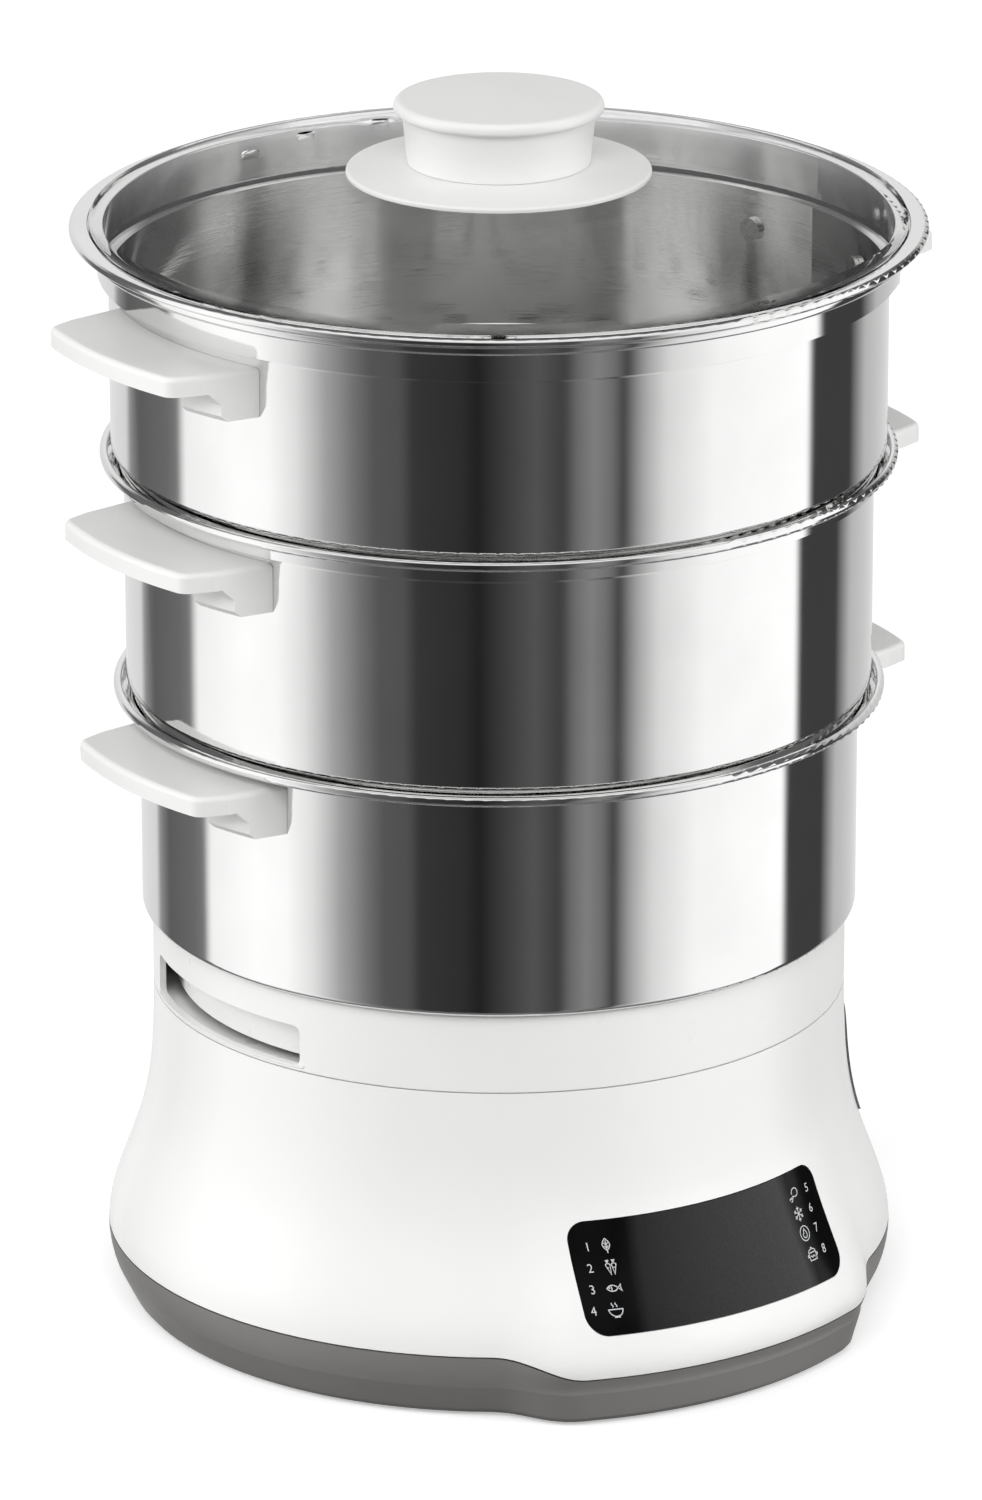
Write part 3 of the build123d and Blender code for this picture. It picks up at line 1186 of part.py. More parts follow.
def knob_base():
    """Shallow dish that the knob stands on."""
    bore_r = KNOB_SCREW_R + FIT_GAP
    ledge_r = KNOB_FOOT_R + KNOB_BASE_LEDGE
    edge_low = dome_z(KNOB_BASE_R, TOUCH_GAP)
    edge_top = edge_low + KNOB_BASE_EDGE
    outline = make_face(
        [
            dome_arc(bore_r, KNOB_BASE_R, TOUCH_GAP),
            Line((KNOB_BASE_R, edge_low), (KNOB_BASE_R, edge_top)),
            Line((KNOB_BASE_R, edge_top), (ledge_r, KNOB_SEAT_Z)),
            Line((ledge_r, KNOB_SEAT_Z), (bore_r, KNOB_SEAT_Z)),
            Line((bore_r, KNOB_SEAT_Z), (bore_r, dome_z(bore_r, TOUCH_GAP))),
        ]
    )
    rim = outline.vertices().filter_by_position(Axis.X, KNOB_BASE_R - FIT_GAP, KNOB_BASE_R + FIT_GAP)
    return revolve(Plane.XZ * fillet(rim.sort_by(Axis.Y)[-1], KNOB_BASE_ROUND), Axis.Z)


def lid_knob():
    """Round grip, hollow underneath, with a post for its screw."""
    rim_top = KNOB_SEAT_Z + KNOB_HEIGHT - KNOB_CROWN
    lip_low = KNOB_SEAT_Z + KNOB_NECK_H
    knob = turned(
        (0, KNOB_SEAT_Z, 0),
        (KNOB_FOOT_R, KNOB_SEAT_Z, KNOB_FOOT_ROUND),
        (KNOB_NECK_R, lip_low, KNOB_UNDER_ROUND),
        (KNOB_LIP_R, lip_low + KNOB_LIP_RISE, KNOB_UNDER_ROUND),
        (KNOB_LIP_R, rim_top, KNOB_LIP_ROUND),
        (0, KNOB_SEAT_Z + KNOB_HEIGHT, 0),
    )
    hollow_top = KNOB_SEAT_Z + KNOB_HOLLOW_H
    knob -= drum(KNOB_HOLLOW_R, KNOB_SEAT_Z - OVERCUT, hollow_top)
    knob += drum(KNOB_POST_R, KNOB_SEAT_Z, hollow_top + OVERCUT)
    return knob - drum(KNOB_SCREW_R, KNOB_SEAT_Z - OVERCUT, KNOB_SEAT_Z + KNOB_SCREW_BITE + BLIND_EXTRA)


WASHER_TOP_Z = CROWN_Z - GLASS_THICK - KNOB_WASHER_DROP


def knob_washer():
    """Silicone washer under the glass."""
    washer = drum(KNOB_WASHER_R, WASHER_TOP_Z - KNOB_WASHER, WASHER_TOP_Z)
    return washer - drum(KNOB_SCREW_R + FIT_GAP, 0, CROWN_Z)


def knob_screw():
    """Screw that clamps knob, base and glass together from below."""
    seat = WASHER_TOP_Z - KNOB_WASHER
    screw = drum(KNOB_SCREW_R, seat, KNOB_SEAT_Z + KNOB_SCREW_BITE)
    screw += drum(KNOB_SCREW_HEAD_R, seat - KNOB_SCREW_HEAD, seat)
    slot = block((2 * KNOB_SCREW_HEAD_R, KNOB_SCREW_SLOT, KNOB_SCREW_SLOT), seat - KNOB_SCREW_HEAD)
    return screw - slot


# ================================================================== export
def all_nodes():
    """Every separate piece of the steamer, by name."""
    nodes = {
        "base_cover": base_cover(),
        "base_housing": base_housing(),
        "base_screws": base_screws(),
        "rubber_feet": rubber_feet(),
        "cord_gland": cord_gland(),
        "water_tank": water_tank(),
        "heater_plate": heater_plate(),
        "heater_seal": heater_seal(),
        "heater_clamp": heater_clamp(),
        "heater_screws": heater_screws(),
        "heating_element": heating_element(),
        "thermostat": thermostat(),
        "thermal_fuse": thermal_fuse(),
        "turbo_ring": turbo_ring(),
        "control_panel": control_panel(),
        "control_board": control_board(),
        "display_module": display_module(),
        "key_pillars": key_pillars(),
        "board_frame": board_frame(),
        "board_screws": board_screws(),
        "power_board": power_board(),
        "relay": relay(),
        "buzzer": buzzer(),
        "level_window": level_window(),
        "window_seal": window_seal(),
        "collector_ring": collector_ring(),
        "juice_tray": juice_tray(),
        "lid_glass": lid_glass(),
        "lid_rim": lid_rim(),
        "knob_base": knob_base(),
        "lid_knob": lid_knob(),
        "knob_washer": knob_washer(),
        "knob_screw": knob_screw(),
    }
    for bowl in BOWLS:
        nodes[f"{bowl.name}_bowl"] = bowl_shell(bowl)
        nodes[f"{bowl.name}_steam_plate"] = steam_plate(bowl)
        nodes[f"{bowl.name}_left_handle"] = handle(bowl, "left")
        nodes[f"{bowl.name}_right_handle"] = handle(bowl, "right")
        nodes[f"{bowl.name}_handle_screws"] = handle_screws(bowl)
    return nodes


os.makedirs("parts", exist_ok=True)
for name, shape in all_nodes().items():
    export_step(shape, f"parts/{name}.step")
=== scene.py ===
from math import cos, pi, radians, sin

import bpy
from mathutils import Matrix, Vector
from mathutils.bvhtree import BVHTree


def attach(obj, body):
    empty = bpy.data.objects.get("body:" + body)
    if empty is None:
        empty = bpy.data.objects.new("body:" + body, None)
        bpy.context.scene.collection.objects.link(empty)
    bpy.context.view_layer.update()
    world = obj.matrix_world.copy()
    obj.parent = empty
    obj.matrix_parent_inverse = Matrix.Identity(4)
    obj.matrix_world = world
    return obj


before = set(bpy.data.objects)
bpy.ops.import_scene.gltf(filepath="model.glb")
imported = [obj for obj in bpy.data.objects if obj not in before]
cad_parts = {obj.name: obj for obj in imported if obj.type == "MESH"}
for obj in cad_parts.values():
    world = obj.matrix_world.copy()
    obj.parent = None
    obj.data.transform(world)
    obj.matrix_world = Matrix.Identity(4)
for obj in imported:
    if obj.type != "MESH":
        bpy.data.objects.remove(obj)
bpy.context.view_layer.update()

# Electric food steamer, seen from the front left and a little above.
# Metres, +Z up. The control panel faces -Y and the handles lie on +X and -X.

MM = 0.001


# ------------------------------------------------------------------ node trees
class Tree:
    """A node tree that is built one call at a time from numbers, colours and node outputs."""

    def __init__(self, tree):
        self.tree = tree

    def node(self, kind, **settings):
        made = self.tree.nodes.new(kind)
        for setting, value in settings.items():
            setattr(made, setting, value)
        return made

    def link(self, out, into):
        self.tree.links.new(out, into)

    def math(self, operation, *values):
        made = self.node("ShaderNodeMath", operation=operation)
        for socket, value in zip(made.inputs, values):
            if isinstance(value, (int, float)):
                socket.default_value = value
            else:
                self.link(value, socket)
        return made.outputs[0]

    def mix(self, amount, a, b):
        """From a to b, each of which is a grey, a colour or a node output."""
        made = self.node("ShaderNodeMix", data_type="RGBA")
        self.link(amount, made.inputs["Factor"])
        for socket, value in ((made.inputs["A"], a), (made.inputs["B"], b)):
            if isinstance(value, float):
                value = (value, value, value)
            if isinstance(value, tuple):
                socket.default_value = (*value, 1.0)
            else:
                self.link(value, socket)
        return made.outputs["Result"]

    def map_range(self, value, start, end, low=0.0, high=1.0, **settings):
        """The value's range start..end mapped to low..high."""
        made = self.node("ShaderNodeMapRange", **settings)
        self.link(value, made.inputs["Value"])
        numbers = {"From Min": start, "From Max": end, "To Min": low, "To Max": high}
        for socket, number in numbers.items():
            made.inputs[socket].default_value = number
        return made.outputs["Result"]

    def axes(self, vector):
        made = self.node("ShaderNodeSeparateXYZ")
        self.link(vector, made.inputs[0])
        return made.outputs


NOISE_LOW, NOISE_HIGH = 0.3, 0.7     # most of a noise texture's values lie between these


class Look(Tree):
    """A material with one Principled shader, some of whose sockets are given by name."""

    def __init__(self, name, roughness, metallic=0.0, **sockets):
        self.material = bpy.data.materials.new(name)
        self.material.use_nodes = True
        super().__init__(self.material.node_tree)
        self.shader = self.tree.nodes["Principled BSDF"]
        self.set("Roughness", roughness)
        self.set("Metallic", metallic)
        for socket, value in sockets.items():
            self.set(socket.replace("_", " "), value)
        self.place = self.node("ShaderNodeTexCoord").outputs["Object"]

    def set(self, socket, value):
        self.shader.inputs[socket].default_value = value

    def drive(self, socket, out):
        self.link(out, self.shader.inputs[socket])

    def noise(self, size, detail=2.0, at=None):
        """Noise whose blobs are about size metres across."""
        made = self.node("ShaderNodeTexNoise")
        made.inputs["Scale"].default_value = 1.0 / size
        made.inputs["Detail"].default_value = detail
        self.link(at if at is not None else self.place, made.inputs["Vector"])
        return made.outputs["Fac"]

    def wander(self, noise, low=0.0, high=1.0):
        """A noise's usual range mapped to low..high."""
        return self.map_range(noise, NOISE_LOW, NOISE_HIGH, low, high)

    def colours(self, a, b, size):
        """Colour that wanders between a and b over about size metres."""
        self.drive("Base Color", self.mix(self.wander(self.noise(size, detail=3.0)), a, b))

    def gloss(self, low, high, size, times=1.0):
        """Roughness that wanders between low and high, times a factor, over about size metres."""
        self.drive("Roughness", self.wander(self.noise(size), times * low, times * high))

    def bump(self, height, depth):
        """A surface that stands out by up to depth metres where height is high."""
        made = self.node("ShaderNodeBump")
        made.inputs["Distance"].default_value = depth
        self.link(height, made.inputs["Height"])
        self.drive("Normal", made.outputs["Normal"])

    def around(self, turns, up, out):
        """Coordinates that run slowly round the Z axis and fast along it and away from it."""
        x, y, z = self.axes(self.place)
        angle = self.math("ARCTAN2", y, x)
        squares = self.math("ADD", self.math("MULTIPLY", x, x), self.math("MULTIPLY", y, y))
        radius = self.math("SQRT", squares)
        joined = self.node("ShaderNodeCombineXYZ")
        for value, scale, socket in zip((angle, z, radius), (turns, up, out), joined.inputs):
            self.link(self.math("MULTIPLY", value, scale), socket)
        return joined.outputs[0]

    def turned_inward(self):
        """1 on faces that look towards the Z axis, 0 on the others."""
        facing = self.node("ShaderNodeNewGeometry").outputs["Normal"]
        flat = self.node("ShaderNodeVectorMath", operation="MULTIPLY")
        self.link(self.place, flat.inputs[0])
        flat.inputs[1].default_value = (1, 1, 0)
        outward = self.node("ShaderNodeVectorMath", operation="DOT_PRODUCT")
        self.link(facing, outward.inputs[0])
        self.link(flat.outputs[0], outward.inputs[1])
        return self.math("LESS_THAN", outward.outputs["Value"], 0.0)


# ------------------------------------------------------------------ materials
MOULDED_GLOSS = 0.9, 1.12    # factors on a roughness, where it is glossiest and where it is dullest
TURNED_GLOSS = 0.8, 1.3
PLATED_GLOSS = 0.75, 1.3
TURNED_SHADE = 0.95          # factors on a colour, where it is darkest
RUBBER_SHADE = 0.8
PLATED_SHADE = 0.85
LINE_TURNS = 1.6             # how often the lines of turned metal change on their way round, per radian


def shade(colour, factor):
    return tuple(c * factor for c in colour)


def moulded(name, colour, roughness, grain, depth, darkest=0.985):
    """Injection-moulded plastic: even colour, faint flow shading and a fine surface grain."""
    look = Look(name, roughness)
    look.colours(colour, shade(colour, darkest), size=0.045)
    look.gloss(*MOULDED_GLOSS, size=0.02, times=roughness)
    look.bump(look.noise(grain, detail=3.0), depth)
    return look


def turned_metal(name, colour, roughness, lines=0.0004, depth=0.000004, inside=1.0):
    """Sheet metal that was polished while it turned, with faint lines round its axis.

    On faces that look towards the axis the lines are inside times as deep."""
    look = Look(name, roughness, metallic=1.0)
    look.colours(colour, shade(colour, TURNED_SHADE), size=0.03)
    look.gloss(*TURNED_GLOSS, size=0.025, times=roughness)
    height = look.noise(1.0, at=look.around(LINE_TURNS, 1.0 / lines, 1.0 / lines))
    if inside != 1.0:
        deeper = look.math("MULTIPLY_ADD", look.turned_inward(), inside - 1.0, 1.0)
        height = look.math("MULTIPLY", height, deeper)
    look.bump(height, depth)
    return look


def rubbery(name, colour, roughness):
    """Rubber, silicone or foam: blotchy and coarse."""
    look = Look(name, roughness)
    look.colours(colour, shade(colour, RUBBER_SHADE), size=0.008)
    look.bump(look.noise(0.0006, detail=4.0), depth=0.00003)
    return look


def plated(name, colour, roughness):
    """Small cast, drawn or plated metal with a faintly uneven skin."""
    look = Look(name, roughness, metallic=1.0)
    look.colours(colour, shade(colour, PLATED_SHADE), size=0.004)
    look.gloss(*PLATED_GLOSS, size=0.003, times=roughness)
    look.bump(look.noise(0.0005, detail=3.0), depth=0.000012)
    return look


def clear_glass(name):
    """The lid's dome. A low index keeps what is under it as clear as in the photo."""
    look = Look(name, 0.0, Transmission_Weight=1.0, IOR=1.06)
    look.colours((0.975, 0.98, 0.975), (0.965, 0.97, 0.965), size=0.05)
    look.gloss(0.0, 0.012, size=0.03)
    return look


def smoked_plastic(name):
    """The tinted, see-through level window."""
    look = Look(name, 0.08, Transmission_Weight=0.75, IOR=1.49)
    look.colours((0.16, 0.165, 0.175), (0.13, 0.135, 0.145), size=0.02)
    look.gloss(0.06, 0.11, size=0.012)
    return look


PANEL_MIDDLE_Z = 0.049
PANEL_BLACK = (0.0030, 0.0030, 0.0034)
PANEL_SPECKLE = 0.9, 1.1     # factors on the panel's colours
PANEL_SPECKLE_SIZE = 0.0009
DISPLAY_LEFT = -0.0300       # X of the display zone's edges, half way up the panel
DISPLAY_RIGHT = 0.0335
DISPLAY_SLANT_LEFT = -0.16   # how far they lean towards -X for each metre up
DISPLAY_SLANT_RIGHT = 0.10
DISPLAY_EDGE = 0.0022        # half the width over which they fade
DISPLAY_OWN_TINT = (0.0165, 0.0165, 0.0175)      # the zone's own tint, at its left end
DISPLAY_PAINTED_REFLECTION_TINT = (0.046, 0.046, 0.047)        # and at its right end, lighter by a painted reflection


def touch_glass(name):
    """Gloss black panel whose display zone, in the middle, is a little lighter, with a painted
    reflection that lightens it further towards its right end.
    """
    look = Look(name, 0.07, Specular_IOR_Level=0.14)
    x, _, z = look.axes(look.place)
    rise = look.math("SUBTRACT", z, PANEL_MIDDLE_Z)
    from_left = look.math("MULTIPLY_ADD", rise, DISPLAY_SLANT_LEFT, x)
    from_right = look.math("MULTIPLY_ADD", rise, DISPLAY_SLANT_RIGHT, x)
    inner = look.map_range(from_left, DISPLAY_LEFT - DISPLAY_EDGE, DISPLAY_LEFT + DISPLAY_EDGE)
    outer = look.map_range(
        from_right, DISPLAY_RIGHT - DISPLAY_EDGE, DISPLAY_RIGHT + DISPLAY_EDGE, 1.0, 0.0
    )
    zone = look.math("MULTIPLY", inner, outer)
    # painted reflection: the zone's colour grows lighter from its left edge to its right edge
    across = look.map_range(x, DISPLAY_LEFT, DISPLAY_RIGHT)
    colour = look.mix(zone, PANEL_BLACK, look.mix(across, DISPLAY_OWN_TINT, DISPLAY_PAINTED_REFLECTION_TINT))
    toned = look.node("ShaderNodeVectorMath", operation="SCALE")
    look.link(colour, toned.inputs[0])
    look.link(look.wander(look.noise(PANEL_SPECKLE_SIZE), *PANEL_SPECKLE), toned.inputs["Scale"])
    look.drive("Base Color", toned.outputs[0])
    look.gloss(0.05, 0.10, size=0.018)
    return look


def laminate(name):
    """The lacquered sheet of a circuit board."""
    look = Look(name, 0.35, Coat_Weight=0.3, Coat_Roughness=0.1)
    look.colours((0.012, 0.10, 0.035), (0.02, 0.14, 0.05), size=0.0025)
    look.bump(look.noise(0.0004, detail=3.0), depth=0.00001)
    return look


# Material slot: (function that makes its look, what that takes after the name)
LOOKS = {
    "housing_white": (moulded, (0.86, 0.86, 0.85), 0.24, 0.0007, 0.000004),
    "collector_white": (moulded, (0.85, 0.85, 0.84), 0.30, 0.0006, 0.000006),
    "grip_white": (moulded, (0.80, 0.80, 0.79), 0.34, 0.0005, 0.000008),
    "cover_grey": (moulded, (0.195, 0.190, 0.181), 0.46, 0.0007, 0.00003, 0.93),
    "tank_plastic": (moulded, (0.62, 0.62, 0.61), 0.42, 0.0006, 0.00001),
    "ring_plastic": (moulded, (0.70, 0.70, 0.68), 0.40, 0.0006, 0.00001),
    "display_black": (moulded, (0.010, 0.010, 0.012), 0.15, 0.0005, 0.000004, 0.8),
    "frame_black": (moulded, (0.022, 0.022, 0.023), 0.5, 0.0005, 0.00002, 0.85),
    "relay_black": (moulded, (0.014, 0.014, 0.016), 0.45, 0.0004, 0.00002, 0.85),
    "bowl_steel": (turned_metal, (0.90, 0.90, 0.895), 0.06, 0.0004, 0.000004, 5.0),
    "lid_steel": (turned_metal, (0.90, 0.90, 0.895), 0.07),
    "plate_steel": (turned_metal, (0.86, 0.86, 0.855), 0.30, 0.0005, 0.00001),
    "heater_steel": (turned_metal, (0.58, 0.57, 0.56), 0.22, 0.0004, 0.00002),
    "element_steel": (plated, (0.33, 0.30, 0.27), 0.38),
    "screw_steel": (plated, (0.60, 0.60, 0.59), 0.28),
    "thermostat_metal": (plated, (0.72, 0.72, 0.72), 0.33),
    "fuse_metal": (plated, (0.62, 0.55, 0.32), 0.36),
    "lid_glass": (clear_glass,),
    "window_tint": (smoked_plastic,),
    "panel_black": (touch_glass,),
    "circuit_board": (laminate,),
    "rubber_dark": (rubbery, (0.030, 0.030, 0.030), 0.75),
    "silicone": (rubbery, (0.60, 0.59, 0.57), 0.5),
    "key_foam": (rubbery, (0.045, 0.045, 0.048), 0.85),
}


def dress_nodes():
    """Gives every carried-over CAD node the look of its material slot."""
    made = {}
    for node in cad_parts.values():
        for place in node.material_slots:
            slot = place.material.name
            if slot not in made:
                recipe, *given = LOOKS[slot]
                made[slot] = recipe("look_" + slot, *given).material
            place.material = made[slot]


# ------------------------------------------------------------------ white printing on the panel
PRINT_LIFT = 0.00004         # how far the ink stands off the panel
STROKE = 0.00030             # width of an icon's lines
SHARPEST_MITRE = 0.45        # least cosine by which a corner's width is divided
FOLD_BACK = -0.9             # at a lower cosine than this a line turns back, and has no mitre
SAME_POINT = 0.000001        # ends that are nearer to each other close a line
DIGIT_HEIGHT = 0.0026
DIGIT_SHARE = 0.72           # a digit's height as a share of the font's size
DIGIT_STEPS = 6              # points on each curve of a digit
FIRST_LOOK = -0.30           # where the rays that look for the panel begin, along Y


def ink(name):
    """The panel's slightly uneven white print."""
    look = Look(name, 0.45)
    look.colours((0.60, 0.61, 0.62), (0.54, 0.55, 0.56), size=0.001)
    return look.material


# Icons: lists of strokes, each a list of points in millimetres about the icon's middle.
def arc(cx, cz, rx, rz, start, end, steps=14):
    """Points on an ellipse about (cx, cz), from start to end degrees."""
    turns = [radians(start + (end - start) * k / steps) for k in range(steps + 1)]
    return [(cx + rx * cos(t), cz + rz * sin(t)) for t in turns]


def leaf():
    right = [(1.15 * sin(pi * k / 12), -1.5 + 3.6 * k / 12) for k in range(13)]
    left = [(-x, z) for x, z in reversed(right)]
    veins = [[(0, z), (side * 0.7, z + 0.65)] for z in (-0.7, 0.2) for side in (1, -1)]
    return [right + left[1:], [(0, -2.2), (0, 1.5)]] + veins


def carrots():
    strokes = []
    for x, tilt in ((-0.95, -0.35), (0.95, 0.35)):
        root = [(x - 0.7, 0.6), (x - tilt, -2.1), (x + 0.7, 0.6)]
        strokes.append(root + arc(x, 0.6, 0.7, 0.45, 0, 180, 8))
        strokes += [[(x, 1.1), (x + lean, 2.1)] for lean in (-0.45, 0.05, 0.5)]
        strokes.append([(x - 0.35, -0.2), (x + 0.15, -0.2)])
    return strokes


def fish():
    top = arc(-0.4, -1.35, 2.2, 2.2, 35, 145)
    low = arc(-0.4, 1.35, 2.2, 2.2, 215, 325)
    tail = [(1.4, 0), (2.4, 0.9), (2.2, 0), (2.4, -0.9), (1.4, 0)]
    return [top, low, tail, arc(-1.35, 0.2, 0.16, 0.16, 0, 360, 8), arc(-0.9, 0, 0.3, 0.65, -70, 70, 8)]


def bowl():
    body = [(-2.2, 0.1), (2.2, 0.1)] + arc(0, 0.1, 2.2, 2.0, 0, -180)
    steam = [[(x + 0.22 * sin(pi * k / 3), 0.75 + 0.2 * k) for k in range(7)] for x in (-0.7, 0.5)]
    return [body, [(-0.9, -2.15), (0.9, -2.15)]] + steam


def drumstick():
    meat = arc(0.55, 0.5, 1.45, 1.25, -140, 195)
    bone = [(-0.75, -0.35), (-1.55, -1.2)]
    ends = [arc(-1.85, -1.15, 0.34, 0.34, 20, 230, 8), arc(-1.45, -1.55, 0.34, 0.34, 210, 400, 8)]
    return [meat, bone, [(-0.45, -0.75), (-1.2, -1.5)]] + ends


def snowflake():
    strokes = []
    for k in range(6):
        turn = radians(60 * k + 30)
        out = (cos(turn), sin(turn))
        strokes.append([(0, 0), (2.15 * out[0], 2.15 * out[1])])
        for side in (-1, 1):
            lean = turn + side * radians(42)
            start = (1.2 * out[0], 1.2 * out[1])
            strokes.append([start, (start[0] + 0.75 * cos(lean), start[1] + 0.75 * sin(lean))])
    return strokes


def flame():
    right = [(0.05, 1.25), (0.45, 0.55), (0.9, 0.0), (0.85, -0.75), (0.35, -1.2), (0.0, -1.25)]
    left = [(-0.35, -1.2), (-0.85, -0.75), (-0.85, -0.05), (-0.45, 0.15), (-0.35, 0.75), (0.05, 1.25)]
    return [arc(0, 0, 2.1, 2.1, 0, 360, 28), right + left]


def pot():
    body = [(-1.6, 0.55), (-1.6, -1.6), (1.6, -1.6), (1.6, 0.55), (-1.6, 0.55)]
    ears = [[(s * 1.6, 0.0), (s * 2.25, 0.0), (s * 2.25, -0.5), (s * 1.6, -0.5)] for s in (-1, 1)]
    lid = arc(0, 0.75, 1.6, 0.75, 0, 180, 12)
    wave = [(-1.05 + 0.175 * k, -0.55 + 0.22 * sin(pi * k / 3)) for k in range(13)]
    return [body, lid, arc(0, 1.75, 0.28, 0.22, 0, 360, 8), wave] + ears


# Places in millimetres: (number, number's X, icon's X, height Z, icon)
KEYS = (
    ("1", -43.2, -37.4, 56.7, leaf),
    ("2", -44.1, -37.6, 50.5, carrots),
    ("3", -45.4, -38.8, 44.5, fish),
    ("4", -47.0, -40.2, 38.5, bowl),
    ("5", 43.5, 36.6, 57.5, drumstick),
    ("6", 43.0, 36.6, 51.7, snowflake),
    ("7", 42.8, 36.8, 46.0, flame),
    ("8", 43.3, 37.4, 39.8, pot),
)


class Print:
    """Flat marks that are laid on a CAD node along Y, from places in millimetres."""

    def __init__(self, node):
        self.carrier = BVHTree.FromPolygons(
            [v.co for v in node.data.vertices], [p.vertices for p in node.data.polygons]
        )
        self.points, self.faces = [], []

    def lay(self, x, z):
        """The number of a new point just off the surface, in front of x and z in metres."""
        start = Vector((x, FIRST_LOOK, z))
        hit, normal, _, _ = self.carrier.ray_cast(start, Vector((0, 1, 0)))
        if normal.y > 0:
            normal = -normal
        self.points.append(hit + normal * PRINT_LIFT)
        return len(self.points) - 1

    def stroke(self, x, z, path):
        """A ribbon of STROKE width along a path, with square ends and mitred corners."""
        line = [Vector(((x + a) * MM, (z + b) * MM)) for a, b in path]
        closed = (line[0] - line[-1]).length < SAME_POINT and len(line) > 3
        last = len(line) - 1
        edges = []
        for k, point in enumerate(line):
            legs = []
            if k > 0 or closed:
                legs.append(point - (line[k - 1] if k > 0 else line[-2]))
            if k < last or closed:
                legs.append((line[k + 1] if k < last else line[1]) - point)
            first, second = legs[0].normalized(), legs[-1].normalized()
            way = first
            if first.dot(second) > FOLD_BACK:
                way = (first + second).normalized()
            side = Vector((-way.y, way.x))
            across = Vector((-first.y, first.x))
            reach = STROKE / 2 / max(side.dot(across), SHARPEST_MITRE)
            edges.append([self.lay(*(point + side * reach * s)) for s in (1, -1)])
        for a, b in zip(edges, edges[1:]):
            self.faces.append((a[0], a[1], b[1], b[0]))

    def number(self, x, z, text):
        """A numeral from Blender's own plain font, about DIGIT_HEIGHT tall."""
        writing = bpy.data.curves.new("numeral", "FONT")
        writing.body = text
        writing.align_x, writing.align_y = "CENTER", "CENTER"
        writing.size = DIGIT_HEIGHT / DIGIT_SHARE
        writing.resolution_u = DIGIT_STEPS
        carrier = bpy.data.objects.new("numeral", writing)
        flat = bpy.data.meshes.new_from_object(carrier)
        here = [self.lay(x * MM + v.co.x, z * MM + v.co.y) for v in flat.vertices]
        self.faces += [tuple(here[i] for i in p.vertices) for p in flat.polygons]
        bpy.data.objects.remove(carrier)
        bpy.data.meshes.remove(flat)
        bpy.data.curves.remove(writing)

    def finish(self, name, material):
        """The object with everything laid so far."""
        mesh = bpy.data.meshes.new(name)
        mesh.from_pydata(self.points, [], self.faces)
        mesh.materials.append(material)
        made = bpy.data.objects.new(name, mesh)
        bpy.context.scene.collection.objects.link(made)
        return made


def print_panel():
    marks = Print(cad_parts["control_panel"])
    for number, number_x, icon_x, z, icon in KEYS:
        marks.number(number_x, z, number)
        for path in icon():
            marks.stroke(icon_x, z, path)
    printed = marks.finish("panel_printing", ink("look_panel_ink"))
    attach(printed, "base")


# ------------------------------------------------------------------ camera
CAMERA_PLACE = (-1.6604, -2.4158, 1.19496)
CAMERA_TILT = 70.969         # degrees up from straight down
CAMERA_TURN = -34.5          # degrees about Z, also where the camera stands round the object
CAMERA_LENS = 228.414        # millimetres
CAMERA_SENSOR = 36.0
CAMERA_SHIFT = -0.00513      # in sizes of the sensor
CAMERA_REACH = 50.0


def make_camera():
    camera = bpy.data.cameras.new("camera")
    camera.sensor_width = CAMERA_SENSOR
    camera.lens = CAMERA_LENS
    camera.shift_x = CAMERA_SHIFT
    camera.clip_end = CAMERA_REACH
    place = bpy.data.objects.new("camera", camera)
    place.location = CAMERA_PLACE
    place.rotation_euler = (radians(CAMERA_TILT), 0, radians(CAMERA_TURN))
    bpy.context.scene.collection.objects.link(place)
    bpy.context.scene.camera = place


# ------------------------------------------------------------------ what the object reflects
# Light by degrees round the object from the camera, + to its right: wide white screens at both
# sides, with dark gaps between them.
SCREENS = (
    (-180, 0.84), (-145, 0.72), (-141, 0.30), (-133, 0.115), (-116, 0.15), (-110, 0.20),
    (-106, 0.99), (-84, 1.12), (-72, 1.09), (-62, 0.84), (-52, 0.40), (-43, 0.185),
    (-37, 0.10), (-29, 0.09), (-25, 0.040), (-11, 0.030), (-6, 0.016), (2, 0.051),
    (11, 0.095), (19, 0.051), (23, 0.165), (28, 0.24), (33, 0.175), (37, 0.05),
    (43, 0.42), (50, 0.76), (66, 1.03), (103, 1.14), (106, 0.05), (127, 0.05),
    (138, 0.51), (180, 0.84),
)

# Each pair of places, such as CEILING_FROM and CEILING_TO, says where a light fades into the next, by
# the height of a ray's direction: -1 is straight down and 1 straight up.
CEILING_LIGHT = 0.92         # from high above
CEILING_FROM, CEILING_TO = 0.45, 0.80
BACK_LIGHT = 0.13            # from high behind the object, for the front of the lid's rim
BACK_FROM, BACK_TO = 0.15, 0.45              # not a height, but how far the ray points from the camera
BACK_LOW, BACK_HIGH = 0.40, 0.50             # where it begins
BACK_END, BACK_GONE = 0.90, 0.98             # and where it ends
GROUND_LIGHT = 0.16          # from straight below
GROUND_FROM, GROUND_TO = -0.88, -0.52
ROOM_BELOW, ROOM_ABOVE = 0.12, 0.52          # what lights surfaces that aren't polished
ROOM_FROM, ROOM_TO = -0.25, 0.85
BACKDROP = 1.0               # what the camera sees round the object


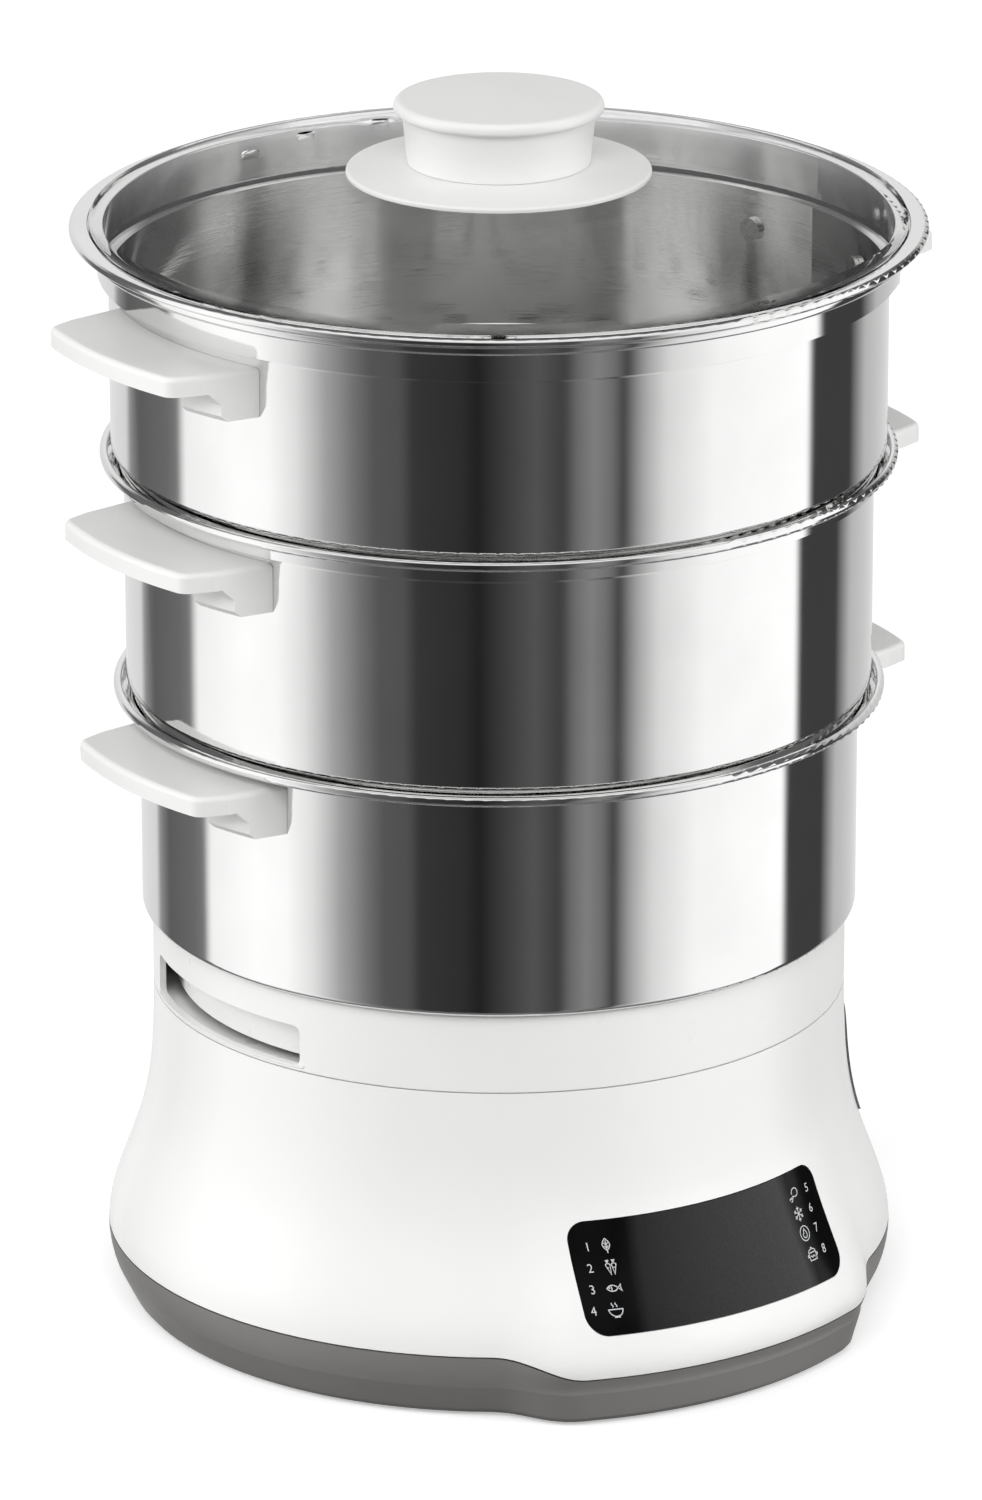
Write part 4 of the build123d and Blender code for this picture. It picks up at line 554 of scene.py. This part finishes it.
class World(Tree):
    """The studio: a white backdrop for the camera, screens for metal and a soft room for the rest."""

    def __init__(self):
        world = bpy.data.worlds.new("studio")
        bpy.context.scene.world = world
        world.use_nodes = True
        super().__init__(world.node_tree)
        self.tree.nodes.clear()
        direction = self.node("ShaderNodeTexCoord").outputs["Generated"]
        turned = self.node("ShaderNodeVectorRotate", rotation_type="Z_AXIS")
        turned.inputs["Angle"].default_value = -radians(CAMERA_TURN)
        self.link(direction, turned.inputs["Vector"])
        self.right, self.away, self.up = self.axes(turned.outputs[0])

    def fade(self, start, end, value=None):
        """0 before start and 1 after end, by default of a ray's height."""
        value = self.up if value is None else value
        return self.map_range(value, start, end, interpolation_type="SMOOTHSTEP")

    def screens(self):
        """The light of SCREENS, by a ray's direction round the Z axis."""
        angle = self.math("ARCTAN2", self.right, self.math("MULTIPLY", self.away, -1.0))
        ramp = self.node("ShaderNodeValToRGB")
        stops = ramp.color_ramp.elements
        for place, (degrees, light) in enumerate(SCREENS):
            stop = stops[place] if place < 2 else stops.new(1.0)
            stop.position = degrees / 360 + 0.5
            stop.color = (light, light, light, 1.0)
        self.link(self.math("ADD", self.math("DIVIDE", angle, 2 * pi), 0.5), ramp.inputs["Fac"])
        return ramp.outputs["Color"]

    def reflected(self):
        """What polished metal shows: the screens, with other light from above, behind and below."""
        above = self.mix(self.fade(CEILING_FROM, CEILING_TO), self.screens(), CEILING_LIGHT)
        behind = self.math(
            "MULTIPLY", self.fade(BACK_FROM, BACK_TO, self.away), self.fade(BACK_LOW, BACK_HIGH)
        )
        over = self.math("SUBTRACT", 1.0, self.fade(BACK_END, BACK_GONE))
        around = self.mix(self.math("MULTIPLY", behind, over), above, BACK_LIGHT)
        return self.mix(self.fade(GROUND_FROM, GROUND_TO), GROUND_LIGHT, around)

    def finish(self):
        """Glass shows the backdrop straight through, but the screens where it mirrors."""
        room = self.mix(self.fade(ROOM_FROM, ROOM_TO), ROOM_BELOW, ROOM_ABOVE)
        path = self.node("ShaderNodeLightPath").outputs
        through = path["Is Transmission Ray"]
        mirrored = self.math("GREATER_THAN", path["Glossy Depth"], 0.5)
        straight = self.math("MULTIPLY", through, self.math("SUBTRACT", 1.0, mirrored))
        seen = self.math("MAXIMUM", path["Is Camera Ray"], straight)
        polished = self.math(
            "MAXIMUM", path["Is Glossy Ray"], self.math("MULTIPLY", through, mirrored)
        )
        shown = self.mix(seen, self.mix(polished, room, self.reflected()), BACKDROP)
        background = self.node("ShaderNodeBackground")
        self.link(shown, background.inputs["Color"])
        out = self.node("ShaderNodeOutputWorld")
        self.link(background.outputs[0], out.inputs["Surface"])


# ------------------------------------------------------------------ lamps and floor
# Soft boxes: (name, degrees round from the camera, height, distance, width, tall, watts)
BOXES = (
    ("softbox_left", -78, 0.80, 1.95, 1.1, 1.3, 26.0),
    ("softbox_right", 66, 0.80, 1.95, 1.0, 1.3, 21.5),
    ("softbox_front", -4, 1.55, 1.60, 1.2, 0.9, 15.5),
)
AIM = Vector((0, 0, 0.2))    # what they point at


def make_lamps():
    for name, degrees, height, distance, width, tall, watts in BOXES:
        turn = radians(degrees + CAMERA_TURN)
        lamp = bpy.data.lights.new(name, "AREA")
        lamp.shape = "RECTANGLE"
        lamp.size, lamp.size_y = width, tall
        lamp.energy = watts
        box = bpy.data.objects.new(name, lamp)
        box.location = (distance * sin(turn), -distance * cos(turn), height)
        box.rotation_euler = (box.location - AIM).to_track_quat("Z", "Y").to_euler()
        box.visible_glossy = False
        box.visible_camera = False
        box.visible_transmission = False
        bpy.context.scene.collection.objects.link(box)


FLOOR_SIDE = 8.0
FLOOR_ROUGHNESS = 0.9
FLOOR_COLOUR = (0.80, 0.80, 0.80)            # as the camera sees it
FLOOR_BOUNCE = (0.50, 0.50, 0.50)            # how much light it throws back up on the object
NEAR_GLOW, FAR_GLOW = 0.42, 0.75             # its own light, so that it is as white as the backdrop
NEAR_REACH, FAR_REACH = 0.6, 2.4             # the distances over which that rises


def make_floor():
    """A white floor that keeps the object's shadow and is as white as the backdrop elsewhere."""
    half = FLOOR_SIDE / 2
    corners = [(-half, -half, 0), (half, -half, 0), (half, half, 0), (-half, half, 0)]
    mesh = bpy.data.meshes.new("floor")
    mesh.from_pydata(corners, [], [(0, 1, 2, 3)])
    look = Look("look_floor", FLOOR_ROUGHNESS, Specular_IOR_Level=0.0)
    path = look.node("ShaderNodeLightPath").outputs
    seen = look.math("MAXIMUM", path["Is Camera Ray"], path["Is Transmission Ray"])
    look.drive("Base Color", look.mix(seen, FLOOR_BOUNCE, FLOOR_COLOUR))
    reach = look.node("ShaderNodeVectorMath", operation="LENGTH")
    look.link(look.place, reach.inputs[0])
    light = look.map_range(reach.outputs["Value"], NEAR_REACH, FAR_REACH, NEAR_GLOW, FAR_GLOW)
    glow = look.node("ShaderNodeEmission")
    look.link(look.math("MULTIPLY", seen, light), glow.inputs["Strength"])
    both = look.node("ShaderNodeAddShader")
    look.link(look.shader.outputs[0], both.inputs[0])
    look.link(glow.outputs[0], both.inputs[1])
    look.link(both.outputs[0], look.tree.nodes["Material Output"].inputs["Surface"])
    mesh.materials.append(look.material)
    floor = bpy.data.objects.new("floor", mesh)
    floor.visible_glossy = False
    bpy.context.scene.collection.objects.link(floor)


dress_nodes()
print_panel()
World().finish()
make_lamps()
make_floor()
make_camera()
bpy.context.scene.view_settings.view_transform = "Standard"
